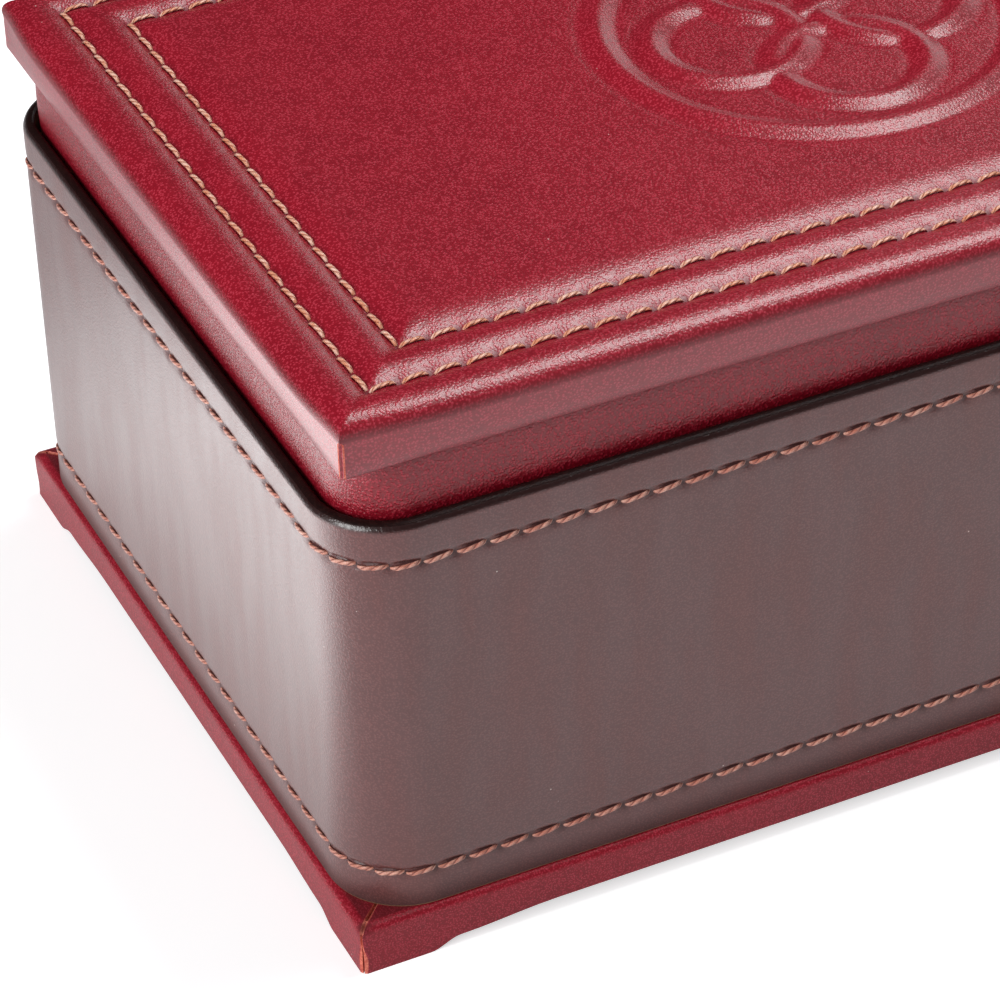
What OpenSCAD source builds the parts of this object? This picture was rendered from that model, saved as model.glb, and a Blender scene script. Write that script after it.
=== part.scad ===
// Leather trinket box: a stitched red lid on a brown leather wall, standing on a red base board.
// The front (long side) faces -Y, the hinges are at the back (+Y) and the box rests on its feet at z = 0.

/* [Lid] */
// Length of the lid plate along X
lid_w = 176; // [150:1:220]
// Depth of the lid plate along Y
lid_d = 108; // [96:1:140]
// Thickness of the whole lid plate
plate_t = 7; // [6:0.5:10]
// Thickness of the leather that covers the lid
lid_leather_t = 1.4; // [1.2:0.1:1.8]
// Thickness of the foam sheet under the lid leather
lid_pad_t = 1; // [0.6:0.1:1.5]
// Rounding of the lid's upper edge
lid_edge_r = 2; // [1:0.1:2.4]
// Width of the fine butt seams at the lid's corners
seam_gap = 0.2; // [0.1:0.05:0.3]

/* [Collar under the lid] */
// Height of the red collar between the lid plate and its seat on the walls
collar_h = 11.3; // [9:0.1:16]
// Thickness of the collar's leather
collar_leather_t = 1.2; // [0.8:0.1:1.5]
// Thickness of the wooden rails in the collar
rail_t = 4; // [3:0.5:5]
// Rounding of the collar's lower edge
collar_edge_r = 1.5; // [0.8:0.1:2]
// Thickness of the suede strip inside the collar
collar_lining_t = 0.8; // [0.5:0.1:1.2]
// Thickness of the padded panel under the lid
lid_lining_t = 2.5; // [1.5:0.5:4]

/* [Walls] */
// Height of the brown leather band from its lower edge to the top of its rim
band_h = 56.6; // [45:0.1:80]
// Thickness of the brown leather band
band_t = 1.6; // [1.4:0.1:2.2]
// How far the band stands out beyond the lid plate
band_over = 1.1; // [0.8:0.1:1.6]
// Radius of the band's upright corners
corner_r = 10; // [8:0.5:14]
// Height of the rim above the wooden walls
lip_h = 3.8; // [3:0.1:5]
// Thickness of the wooden walls
wall_t = 4; // [3:0.5:5]
// Thickness of the suede panels on the inside of the walls
lining_t = 1.2; // [0.8:0.1:2]

/* [Floor and base] */
// How far the base stands out beyond the lid plate
base_over = 1.7; // [1.5:0.1:3]
// Thickness of the base with its leather and felt
base_t = 5.1; // [4.5:0.1:8]
// Thickness of the leather on the base's edge
strip_t = 1.3; // [1:0.1:1.5]
// Thickness of the same leather where it turns in under the walls
flange_t = 1; // [0.8:0.1:1.3]
// Rounding of the base's upper edge
base_edge_r = 1.5; // [1.2:0.1:1.8]
// Thickness of the felt under the base
felt_t = 1; // [0.6:0.1:1.5]
// Thickness of the floor board
floor_t = 3; // [2:0.5:5]
// Thickness of the padded sheet on the floor
floor_pad_t = 3.5; // [2:0.5:6]
// Height of the corner feet
foot_h = 2; // [1.5:0.1:4]
// Length of each foot along its side
foot_len = 12; // [10:0.5:20]
// Width of the feet
foot_w = 6; // [4:0.5:9]
// Length of the slope at the end of a foot
foot_slope = 3; // [2:0.5:4]

/* [Stitching] */
// Distance from the lid's edge to the outer row of stitches
outer_row = 6; // [5:0.1:7.5]
// Distance from the lid's edge to the inner row of stitches
inner_row = 12.6; // [11:0.1:16]
// Length of one stitch on the lid, from hole to hole
lid_pitch = 4; // [3:0.1:6]
// Length of one stitch on the band, from hole to hole
band_pitch = 4.2; // [3:0.1:6]
// Thickness of the thread
thread_d = 0.7; // [0.5:0.05:0.8]
// Leather shown between two stitches
stitch_gap = 0.9; // [0.6:0.1:1.4]
// Width of a pressed channel on the lid at its top
channel_w = 2.6; // [2:0.1:3.4]
// Depth of a pressed channel on the lid
channel_depth = 0.8; // [0.5:0.05:0.9]
// Depth of the creased line that the band's stitches lie in
crease_depth = 0.5; // [0.3:0.05:0.6]
// Distance from the top of the rim to the band's upper row
upper_row = 5.8; // [5:0.1:8]
// Distance from the band's lower edge to its lower row
lower_row = 5.3; // [3.5:0.1:8]

/* [Relief on the lid] */
// Height of the moulded relief
relief_h = 1; // [0.5:0.1:1.5]
// Width of a raised ridge
ridge_w = 4.5; // [3:0.1:5.5]
// Radius of the outer ring, to the middle of its ridge
ring_r = 26.5; // [25:0.5:29]
// Radius of each of the four inner rings
loop_r = 9.5; // [8.5:0.5:10]
// Distance of the four inner rings from the middle
loop_off = 11.5; // [10.5:0.5:12.5]

/* [Hinges] */
// Distance of each hinge from the middle of the back
hinge_x = 52; // [35:1:60]
// Length of a hinge
hinge_len = 16; // [14:1:24]
// Radius of the hinge knuckles
knuckle_r = 1.25; // [1.2:0.05:1.3]
// Radius of the hinge pin
pin_r = 0.6; // [0.5:0.05:0.7]
// Thickness of the hinge leaves
leaf_t = 0.6; // [0.5:0.05:0.7]
// Length of each outer knuckle
outer_knuckle = 5; // [4:0.1:6]
// Height of the leaf on the back of the box, below the knuckles
box_leaf_h = 9.5; // [8:0.5:12]
// Distance of the hinge line inside the band's outer face
axis_in = 0.7; // [0.65:0.05:0.75]
// Height of the hinge line above the rim
axis_up = 0.2; // [0.1:0.05:0.4]
// Radius of a screw's shank
screw_r = 0.55; // [0.4:0.05:0.6]
// Radius of a screw's head
screw_head_r = 1.1; // [0.9:0.05:1.3]
// Length of a screw
screw_len = 5; // [4:0.1:6]

/* [Clearances] */
// Gap between the lid and the box
lid_gap = 0.3; // [0.25:0.05:0.4]
// Gap all round between the collar and the band's rim
rim_gap = 0.7; // [0.5:0.05:0.9]
// Running clearance of the hinge pin in the lid's knuckle
pin_run = 0.05; // [0.02:0.01:0.08]
// Clearance of the pins and screws where they are fixed
pin_fix = 0.02; // [0.01:0.01:0.04]
// Gap round pieces that are glued in place
glue_gap = 0.1; // [0.05:0.05:0.2]

/* [Hidden] */
$fn = 96;
eps = 1;

// Heights, from the feet up
base_z = foot_h;
base_top = base_z + base_t;
board_z = base_z + felt_t;
board_top = base_top - flange_t;
floor_top = board_top + floor_t;
rim_top = base_top + band_h;
wall_top = rim_top - lip_h;
collar_z = wall_top + lid_gap;
plate_z = collar_z + collar_h;
plate_top = plate_z + plate_t;
rail_z = collar_z + collar_leather_t;
lid_board_t = plate_t - lid_leather_t - lid_pad_t;

// Outlines of the box, each as [length, depth]
function grown(by) = [lid_w + 2 * by, lid_d + 2 * by];
band_size = grown(band_over);
base_size = grown(base_over);
wall_size = grown(band_over - band_t);
room_size = grown(band_over - band_t - wall_t);
lined_size = grown(band_over - band_t - wall_t - lining_t);
collar_size = grown(band_over - band_t - rim_gap);
rail_size = grown(band_over - band_t - rim_gap - collar_leather_t);
frame_size = grown(band_over - band_t - rim_gap - collar_leather_t - rail_t);
wall_r = corner_r - band_t;
collar_r = wall_r - rim_gap;
rail_r = collar_r - collar_leather_t;

// Hinge line
axis_y = band_size[1] / 2 - axis_in;
axis_z = rim_top + axis_up;
notch_z = axis_z - knuckle_r - lid_gap;
leaf_clear = axis_z + knuckle_r + lid_gap + 0.05;
middle_knuckle = hinge_len - 2 * outer_knuckle - 2 * lid_gap;
box_screw_z = notch_z - box_leaf_h / 2;
lid_leaf_top = plate_z - lid_gap;
lid_screw_z = (leaf_clear + lid_leaf_top) / 2;
screw_x = hinge_len / 2 - 3.5;

// Turns in degrees that bring the back side round to the back, left, front and right
SIDES = [0, 90, 180, 270];
BACK = SIDES[0];
LEFT = SIDES[1];
FRONT = SIDES[2];
RIGHT = SIDES[3];
function along(turn, size) = (turn == BACK || turn == FRONT) ? size[0] : size[1];
function across(turn, size) = (turn == BACK || turn == FRONT) ? size[1] : size[0];

RED = "#8f1f33";
BROWN = "#3e2624";
TAN = "#c98a5a";
SUEDE = "#b79a78";
WOOD = "#c9a779";
BRASS = "#b58d3d";
FELT = "#4a3a32";

// Flat outlines
module rounded_rect(size, r) {
    square([size[0] - 2 * r, size[1]], center = true);
    square([size[0], size[1] - 2 * r], center = true);
    for (sx = [-1, 1], sy = [-1, 1])
        translate([sx * (size[0] / 2 - r), sy * (size[1] / 2 - r)])
            circle(r);
}

module slab(size, r, z, h) {
    translate([0, 0, z])
        linear_extrude(h)
            rounded_rect(size, r);
}

module block(size, z, h) {
    translate([-size[0] / 2, -size[1] / 2, z])
        cube([size[0], size[1], h]);
}

// Carries a profile round a rectangle with round corners: x is outward from the outer face, y is height
module sweep_round(size, r) {
    for (turn = SIDES)
        rotate([0, 0, turn]) {
            length = along(turn, size);
            depth = across(turn, size);
            translate([-length / 2 + r, depth / 2, 0])
                rotate([90, 0, 90])
                    linear_extrude(length - 2 * r)
                        children();
            translate([length / 2 - r, depth / 2 - r, 0])
                rotate_extrude(angle = 90)
                    translate([r, 0])
                        children();
        }
}

// Carries a profile along one side, with its ends mitred at the outline's corners
module mitred_side(turn, size) {
    length = along(turn, size);
    depth = across(turn, size);
    reach = 12;
    rotate([0, 0, turn])
        intersection() {
            translate([-length / 2, depth / 2, 0])
                rotate([90, 0, 90])
                    linear_extrude(length)
                        children();
            wedge(length, depth, reach);
        }
}

module wedge(length, depth, reach) {
    translate([0, 0, -eps])
        linear_extrude(plate_top + 2 * eps)
            polygon([
                [-length / 2 - reach, depth / 2 + reach],
                [length / 2 + reach, depth / 2 + reach],
                [length / 2 - reach, depth / 2 - reach],
                [-length / 2 + reach, depth / 2 - reach]
            ]);
}

// Feet, one under each corner
module foot(sx, sy) {
    translate([sx * base_size[0] / 2, sy * base_size[1] / 2, 0])
        mirror([sx > 0 ? 1 : 0, 0, 0])
            mirror([0, sy > 0 ? 1 : 0, 0]) {
                foot_arm();
                mirror([1, -1, 0])
                    foot_arm();
            }
}

module foot_arm() {
    translate([0, foot_w, 0])
        rotate([90, 0, 0])
            linear_extrude(foot_w)
                polygon([[0, 0], [foot_len - foot_slope, 0], [foot_len, foot_h], [0, foot_h]]);
}

module foot_front_left() color(RED) foot(-1, -1);
module foot_front_right() color(RED) foot(1, -1);
module foot_back_left() color(RED) foot(-1, 1);
module foot_back_right() color(RED) foot(1, 1);

// Base: a board with felt below and a strip of red leather round each edge
module base_board() {
    color(WOOD)
        block(grown(base_over - strip_t), board_z, board_top - board_z);
}

module base_felt() {
    color(FELT)
        block(grown(base_over - strip_t - glue_gap), base_z, felt_t);
}

module strip_profile() {
    flange_w = base_over - band_over + band_t + wall_t;
    difference() {
        union() {
            translate([-flange_w, base_z])
                square([flange_w, base_t - base_edge_r]);
            translate([-flange_w, base_z])
                square([flange_w - base_edge_r, base_t]);
            translate([-base_edge_r, base_top - base_edge_r])
                circle(base_edge_r);
        }
        translate([-flange_w - eps, base_z - eps])
            square([flange_w + eps - strip_t, base_t + eps - flange_t]);
    }
}

module base_strip(turn) {
    color(RED)
        mitred_side(turn, base_size)
            strip_profile();
}

module base_strip_front() base_strip(FRONT);
module base_strip_back() base_strip(BACK);
module base_strip_left() base_strip(LEFT);
module base_strip_right() base_strip(RIGHT);

// Walls: four boards with mitred, rounded corners
module wall(turn) {
    length = along(turn, room_size);
    depth = across(turn, room_size);
    intersection() {
        difference() {
            slab(wall_size, wall_r, base_top, wall_top - base_top);
            block(room_size, base_top - eps, band_h + 2 * eps);
        }
        rotate([0, 0, turn])
            wedge(length, depth, wall_t * 2);
    }
}

module wall_front() color(WOOD) wall(FRONT);
module wall_left() color(WOOD) wall(LEFT);
module wall_right() color(WOOD) wall(RIGHT);

module wall_back() {
    color(WOOD)
        difference() {
            wall(BACK);
            box_screw_holes();
        }
}

// The brown band: one strip round the walls, with a rounded rim and a crease under each row of stitches
module band_profile() {
    rim_r = band_t / 2;
    crease_w = thread_d * 2;
    difference() {
        union() {
            translate([-band_t, base_top])
                square([band_t, band_h - rim_r]);
            translate([-rim_r, rim_top - rim_r])
                circle(rim_r);
        }
        for (z = [base_top + lower_row, rim_top - upper_row])
            translate([-crease_depth, z - crease_w / 2])
                square([crease_depth + eps, crease_w]);
    }
}

module band_leather() {
    color(BROWN)
        difference() {
            sweep_round(band_size, corner_r)
                band_profile();
            for (sx = [-1, 1])
                translate([sx * hinge_x - hinge_len / 2 - lid_gap, band_size[1] / 2 - band_t - eps, notch_z])
                    cube([hinge_len + 2 * lid_gap, band_t + 2 * eps, lip_h + 2 * eps]);
            box_screw_holes();
        }
}

// Stitches: short rods of thread that lie end to end along a row
module stitch(length) {
    rotate([0, 90, 0])
        cylinder(h = length, d = thread_d, center = true);
}

module stitches_along(length, pitch) {
    count = round(length / pitch);
    step = length / count;
    for (i = [0 : count - 1])
        translate([(i + 0.5) * step - length / 2, 0, 0])
            stitch(step - stitch_gap);
}

// The places along the back that the hinges cover have no stitches
function behind_hinge(turn, x) =
    turn == BACK && abs(abs(x) - hinge_x) < (hinge_len + band_pitch) / 2 + 0.3;

module band_row(z, skip_hinges) {
    lie = corner_r - crease_depth + thread_d / 2 + pin_fix;
    for (turn = SIDES) {
        length = along(turn, band_size) - 2 * corner_r;
        depth = across(turn, band_size);
        count = round(length / band_pitch);
        step = length / count;
        arc_count = round(lie * PI / 2 / band_pitch);
        rotate([0, 0, turn]) {
            for (i = [0 : count - 1])
                let (x = (i + 0.5) * step - length / 2)
                    if (!skip_hinges || !behind_hinge(turn, x))
                        translate([x, depth / 2 - corner_r + lie, z])
                            stitch(step - stitch_gap);
            translate([length / 2, depth / 2 - corner_r, z])
                for (i = [0 : arc_count - 1])
                    rotate([0, 0, -(i + 0.5) * 90 / arc_count])
                        translate([0, lie, 0])
                            stitch(lie * PI / 2 / arc_count - stitch_gap);
        }
    }
}

module band_thread_upper() color(TAN) band_row(rim_top - upper_row, true);
module band_thread_lower() color(TAN) band_row(base_top + lower_row, false);

// Linings and floor
module lining(turn) {
    length = along(turn, room_size);
    depth = across(turn, room_size);
    short = (turn == BACK || turn == FRONT) ? 0 : lining_t;
    rotate([0, 0, turn])
        translate([-length / 2 + glue_gap + short, depth / 2 - lining_t, floor_top])
            cube([length - 2 * glue_gap - 2 * short, lining_t, wall_top - floor_top]);
}

module lining_front() color(SUEDE) lining(FRONT);
module lining_back() color(SUEDE) lining(BACK);
module lining_left() color(SUEDE) lining(LEFT);
module lining_right() color(SUEDE) lining(RIGHT);

module floor_board() {
    color(WOOD)
        block([room_size[0] - 2 * glue_gap, room_size[1] - 2 * glue_gap], board_top, floor_t);
}

// A slab with rounded upper edges and sharp upright corners
module pillow_slab(size, z, h, r) {
    intersection() {
        translate([0, size[1] / 2, z])
            rotate([90, 0, 0])
                linear_extrude(size[1])
                    pillow_profile(size[0], h, r);
        translate([-size[0] / 2, 0, z])
            rotate([90, 0, 90])
                linear_extrude(size[0])
                    pillow_profile(size[1], h, r);
    }
}

module pillow_profile(length, h, r) {
    translate([-length / 2, 0])
        square([length, h - r]);
    translate([-length / 2 + r, 0])
        square([length - 2 * r, h]);
    for (sx = [-1, 1])
        translate([sx * (length / 2 - r), h - r])
            circle(r);
}

module floor_pad() {
    color(SUEDE)
        pillow_slab([lined_size[0] - 2 * lid_gap, lined_size[1] - 2 * lid_gap], floor_top, floor_pad_t, floor_pad_t / 2);
}

// Lid plate: board, foam and a leather cover with pressed channels
module lid_board() {
    color(WOOD)
        block(grown(-lid_leather_t), plate_z, lid_board_t);
}

module lid_foam() {
    color("#e8e2d0")
        block(grown(-lid_leather_t - glue_gap), plate_z + lid_board_t, lid_pad_t);
}

module tapered_block(size, spread, depth) {
    intersection() {
        translate([0, size[1], 0])
            rotate([90, 0, 0])
                linear_extrude(2 * size[1])
                    taper_profile(size[0], spread, depth);
        translate([-size[0], 0, 0])
            rotate([90, 0, 90])
                linear_extrude(2 * size[0])
                    taper_profile(size[1], spread, depth);
    }
}

module taper_profile(length, spread, depth) {
    low = length / 2;
    high = length / 2 + spread;
    polygon([[-low, 0], [low, 0], [high, depth], [-high, depth]]);
}

// A channel round the lid at this distance from its edge, narrow at the bottom
module channel(row) {
    floor_w = thread_d + 0.2;
    slope = (channel_w - floor_w) / 2;
    line = grown(-row);
    rise = channel_depth * 1.5;
    translate([0, 0, plate_top - channel_depth])
        difference() {
            tapered_block([line[0] + floor_w, line[1] + floor_w], slope * 1.5, rise);
            tapered_block([line[0] - floor_w, line[1] - floor_w], -slope * 1.5, rise);
        }
}

module lid_leather() {
    color(RED)
        difference() {
            pillow_slab(grown(0), plate_z, plate_t, lid_edge_r);
            block(grown(-lid_leather_t), plate_z - eps, plate_t - lid_leather_t + eps);
            channel(outer_row);
            channel(inner_row);
            for (sx = [-1, 1], sy = [-1, 1])
                corner_seam(sx, sy);
        }
}

module corner_seam(sx, sy) {
    translate([sx * (lid_w / 2 - lid_leather_t), sy * (lid_d / 2 - lid_leather_t), plate_z - eps])
        rotate([0, 0, atan2(sy, sx)])
            translate([-eps, -seam_gap / 2, 0])
                cube([lid_leather_t * 3 + eps, seam_gap, plate_t - lid_edge_r + eps]);
}

module lid_row(row) {
    line = grown(-row);
    for (turn = SIDES)
        rotate([0, 0, turn])
            translate([0, across(turn, line) / 2, plate_top - channel_depth + thread_d / 2 + pin_fix])
                stitches_along(along(turn, line) - thread_d, lid_pitch);
}

module lid_thread_outer() color(TAN) lid_row(outer_row);
module lid_thread_inner() color(TAN) lid_row(inner_row);

// Relief: an outer ring and four linked rings, each a low rounded ridge
module ridge_profile() {
    curve = (ridge_w * ridge_w / 4 + relief_h * relief_h) / (2 * relief_h);
    intersection() {
        translate([0, relief_h - curve])
            circle(curve, $fn = 240);
        translate([-ridge_w, 0])
            square([2 * ridge_w, 2 * relief_h]);
    }
}

module ridge_ring(r) {
    rotate_extrude()
        translate([r, 0])
            ridge_profile();
}

module lid_relief() {
    color(RED)
        translate([0, 0, plate_top]) {
            ridge_ring(ring_r);
            for (turn = SIDES)
                rotate([0, 0, turn])
                    translate([0, loop_off, 0])
                        ridge_ring(loop_r);
        }
}

// Collar: four rails inside a red leather skin that turns under them
module rail(turn) {
    length = along(turn, frame_size);
    depth = across(turn, frame_size);
    intersection() {
        difference() {
            slab(rail_size, rail_r, rail_z, plate_z - rail_z);
            block(frame_size, rail_z - eps, collar_h + 2 * eps);
        }
        rotate([0, 0, turn])
            wedge(length, depth, rail_t * 2);
    }
}

module rail_front() color(WOOD) rail(FRONT);
module rail_left() color(WOOD) rail(LEFT);
module rail_right() color(WOOD) rail(RIGHT);

module rail_back() {
    color(WOOD)
        difference() {
            rail(BACK);
            lid_screw_holes();
        }
}

module collar_profile() {
    foot_reach = collar_leather_t + rail_t;
    intersection() {
        union() {
            translate([-collar_leather_t, collar_z])
                square([collar_leather_t, collar_h]);
            translate([-foot_reach, collar_z])
                square([foot_reach, collar_leather_t]);
        }
        union() {
            translate([-foot_reach, collar_z + collar_edge_r])
                square([foot_reach, collar_h]);
            translate([-foot_reach, collar_z])
                square([foot_reach - collar_edge_r, collar_h]);
            translate([-collar_edge_r, collar_z + collar_edge_r])
                circle(collar_edge_r);
        }
    }
}

module collar_leather() {
    color(RED)
        difference() {
            sweep_round(collar_size, collar_r)
                collar_profile();
            lid_screw_holes();
        }
}

// The suede strip starts above the leather that turns in under the rails
module collar_lining() {
    inner = [frame_size[0] - 2 * collar_lining_t, frame_size[1] - 2 * collar_lining_t];
    low = rail_z + glue_gap;
    color(SUEDE)
        difference() {
            block(frame_size, low, plate_z - lid_lining_t - low);
            block(inner, collar_z - eps, collar_h + 2 * eps);
        }
}

module lid_lining_panel() {
    color(SUEDE)
        block([frame_size[0] - 2 * glue_gap, frame_size[1] - 2 * glue_gap], plate_z - lid_lining_t, lid_lining_t);
}

// Hinges: a leaf on the back of the box, a leaf on the back of the collar, three knuckles and a pin
module knuckle(x, length, bore) {
    translate([x, axis_y, axis_z])
        rotate([0, 90, 0])
            difference() {
                cylinder(h = length, r = knuckle_r, center = true);
                cylinder(h = length + eps, r = bore, center = true);
            }
}

module pin_bore(x, bore) {
    translate([x, axis_y, axis_z])
        rotate([0, 90, 0])
            cylinder(h = hinge_len + 2 * eps, r = bore, center = true);
}

module box_leaf(x) {
    outer_x = (hinge_len - outer_knuckle) / 2;
    color(BRASS)
        difference() {
            union() {
                translate([x - hinge_len / 2, band_size[1] / 2, notch_z - box_leaf_h])
                    cube([hinge_len, leaf_t, box_leaf_h]);
                for (sx = [-1, 1]) {
                    knuckle(x + sx * outer_x, outer_knuckle, pin_r + pin_fix);
                    translate([x + sx * outer_x - outer_knuckle / 2, band_size[1] / 2, notch_z - eps])
                        cube([outer_knuckle, min(leaf_t, knuckle_r - axis_in), axis_z - notch_z + eps]);
                }
            }
            pin_bore(x, pin_r + pin_fix);
            for (sx = [-1, 1])
                translate([x + sx * screw_x, band_size[1] / 2 + leaf_t, box_screw_z])
                    countersink();
        }
}

module lid_leaf(x) {
    back = collar_size[1] / 2;
    color(BRASS)
        difference() {
            union() {
                translate([x - hinge_len / 2, back, leaf_clear])
                    cube([hinge_len, leaf_t, lid_leaf_top - leaf_clear]);
                translate([x - middle_knuckle / 2, back, axis_z])
                    cube([middle_knuckle, leaf_t, leaf_clear - axis_z + 0.2]);
                translate([x - middle_knuckle / 2, back, axis_z])
                    cube([middle_knuckle, axis_y - back, knuckle_r]);
                knuckle(x, middle_knuckle, pin_r + pin_run);
            }
            pin_bore(x, pin_r + pin_run);
            for (sx = [-1, 1])
                translate([x + sx * screw_x, back + leaf_t, lid_screw_z])
                    countersink();
        }
}

// A tapered hole that opens on the leaf's outer face
module countersink() {
    rotate([90, 0, 0])
        cylinder(h = leaf_t + eps, r = screw_r + pin_fix);
    rotate([90, 0, 0])
        cylinder(h = screw_head_r - screw_r, r1 = screw_head_r + pin_fix, r2 = screw_r + pin_fix);
}

module screw(length) {
    difference() {
        rotate([90, 0, 0])
            union() {
                cylinder(h = length, r = screw_r);
                cylinder(h = screw_head_r - screw_r, r1 = screw_head_r, r2 = screw_r);
            }
        translate([-screw_head_r, -0.15, -0.12])
            cube([2 * screw_head_r, eps, 0.24]);
    }
}

module at_box_screws() {
    for (hx = [-hinge_x, hinge_x], sx = [-1, 1])
        translate([hx + sx * screw_x, band_size[1] / 2 + leaf_t, box_screw_z])
            children();
}

module at_lid_screws() {
    for (hx = [-hinge_x, hinge_x], sx = [-1, 1])
        translate([hx + sx * screw_x, collar_size[1] / 2 + leaf_t, lid_screw_z])
            children();
}

module box_screw_holes() {
    at_box_screws()
        rotate([90, 0, 0])
            cylinder(h = screw_len + pin_fix, r = screw_r + pin_fix);
}

module lid_screw_holes() {
    at_lid_screws()
        rotate([90, 0, 0])
            cylinder(h = screw_len + pin_fix, r = screw_r + pin_fix);
}

module hinge_box_leaf_left() box_leaf(-hinge_x);
module hinge_box_leaf_right() box_leaf(hinge_x);
module hinge_lid_leaf_left() lid_leaf(-hinge_x);
module hinge_lid_leaf_right() lid_leaf(hinge_x);

module hinge_pin(x) {
    color(BRASS)
        translate([x, axis_y, axis_z])
            rotate([0, 90, 0])
                cylinder(h = hinge_len, r = pin_r, center = true);
}

module hinge_pin_left() hinge_pin(-hinge_x);
module hinge_pin_right() hinge_pin(hinge_x);
module hinge_box_screws() color(BRASS) at_box_screws() screw(screw_len);
module hinge_lid_screws() color(BRASS) at_lid_screws() screw(screw_len);

foot_front_left();
foot_front_right();
foot_back_left();
foot_back_right();
base_board();
base_felt();
base_strip_front();
base_strip_back();
base_strip_left();
base_strip_right();
wall_front();
wall_back();
wall_left();
wall_right();
band_leather();
band_thread_upper();
band_thread_lower();
lining_front();
lining_back();
lining_left();
lining_right();
floor_board();
floor_pad();
lid_board();
lid_foam();
lid_leather();
lid_relief();
lid_thread_outer();
lid_thread_inner();
rail_front();
rail_back();
rail_left();
rail_right();
collar_leather();
collar_lining();
lid_lining_panel();
hinge_box_leaf_left();
hinge_box_leaf_right();
hinge_lid_leaf_left();
hinge_lid_leaf_right();
hinge_pin_left();
hinge_pin_right();
hinge_box_screws();
hinge_lid_screws();
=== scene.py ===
# %% [markdown]
# # A stitched leather trinket box
# The box has a red lid plate with two rows of golden stitches and a low ornament, a red collar under it,
# a brown wall with a stitched rim, and a red base on low feet. The lid turns on two brass hinges.
# The CAD model gives every piece its place, so the first step loads it and keeps its outer box.

# %% Load the CAD frame
import math

import bmesh
import bpy
import numpy as np
from mathutils import Matrix, Vector


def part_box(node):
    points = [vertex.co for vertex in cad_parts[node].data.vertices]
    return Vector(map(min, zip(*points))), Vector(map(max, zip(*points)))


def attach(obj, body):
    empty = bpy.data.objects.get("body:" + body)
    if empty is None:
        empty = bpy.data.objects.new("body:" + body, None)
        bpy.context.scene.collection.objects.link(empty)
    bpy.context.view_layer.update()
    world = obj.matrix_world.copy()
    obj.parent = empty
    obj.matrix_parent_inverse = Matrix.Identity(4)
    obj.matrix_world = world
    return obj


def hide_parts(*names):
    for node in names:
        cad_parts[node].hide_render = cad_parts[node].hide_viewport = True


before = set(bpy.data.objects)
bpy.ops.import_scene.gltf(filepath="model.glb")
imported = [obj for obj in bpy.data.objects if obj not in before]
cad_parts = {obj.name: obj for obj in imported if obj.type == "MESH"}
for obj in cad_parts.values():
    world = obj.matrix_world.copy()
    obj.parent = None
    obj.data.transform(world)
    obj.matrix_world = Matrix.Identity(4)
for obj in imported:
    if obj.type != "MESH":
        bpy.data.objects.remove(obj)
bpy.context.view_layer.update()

MM = 0.001

# %% [markdown]
# ## Sizes
# The leather pieces made here lie exactly where their CAD solids lie. Their outer sizes are read from
# the frame, and the few inner ones, such as a corner's radius, are named below in millimetres.
# Heights are measured from the surface that the feet stand on.

# %% Sizes
lid_low, lid_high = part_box("lid_leather")
collar_low, collar_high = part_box("collar_leather")
band_low, band_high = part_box("band_leather")
strip_low, strip_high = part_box("base_strip_front")

LID_HALF = (lid_high.x, lid_high.y)
COLLAR_HALF = (collar_high.x, collar_high.y)
BAND_HALF = (band_high.x, -band_low.y)
BASE_HALF = (strip_high.x, -strip_low.y)
LID_EDGE_R = 2.0 * MM
LID_LEATHER = 1.4 * MM
BAND_R = 10 * MM
BAND_T = 1.6 * MM
COLLAR_R = 7.7 * MM
COLLAR_T = 1.2 * MM
OUTER_ROW = 6.0 * MM
INNER_ROW = 12.6 * MM
UPPER_ROW_Z = band_high.z - 5.8 * MM
LOWER_ROW_Z = band_low.z + 5.3 * MM
LID_PITCH = 4.0 * MM
BAND_PITCH = 4.2 * MM
HINGE_X = 52 * MM
HINGE_ROOM = 10.4 * MM
print("lid", LID_HALF, "band", BAND_HALF, "base", BASE_HALF)

# %% [markdown]
# ## Camera
# The picture is a close-up of one corner, taken with a long lens from above. A long lens is a large
# focal length and a camera that stands far away, which keeps parallel edges nearly parallel.
# The camera stands at a measured point and turns its -Z axis towards another, and a small roll about
# that axis levels the picture as the photographer held it.

# %% Camera
CAMERA_PLACE = Vector((-231.74, -415.90, 351.70)) * MM
CAMERA_AIM = Vector((-69.32, -55.10, 63.37)) * MM
CAMERA_ROLL = math.radians(-1.923)
CAMERA_LENS = 155.96
CAMERA_NEAR = 0.01

bpy.ops.object.camera_add(location=CAMERA_PLACE)
camera = bpy.context.object
camera.name = "camera"
camera.data.lens = CAMERA_LENS
camera.data.clip_start = CAMERA_NEAR
turn = (CAMERA_AIM - CAMERA_PLACE).to_track_quat("-Z", "Y").to_matrix()
camera.rotation_euler = (turn @ Matrix.Rotation(CAMERA_ROLL, 3, "Z")).to_euler()
bpy.context.scene.camera = camera
print("camera distance in mm:", round((CAMERA_AIM - CAMERA_PLACE).length / MM))

# %% [markdown]
# ## Shader maths
# A material's colour and bump are sums and products of textures. Written node by node they are hard to
# read, so a small class wraps a socket and lets Python's own + - * / add the Math nodes. One method of
# the finish, `node`, adds every node: its settings first, and then its sockets.

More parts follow.
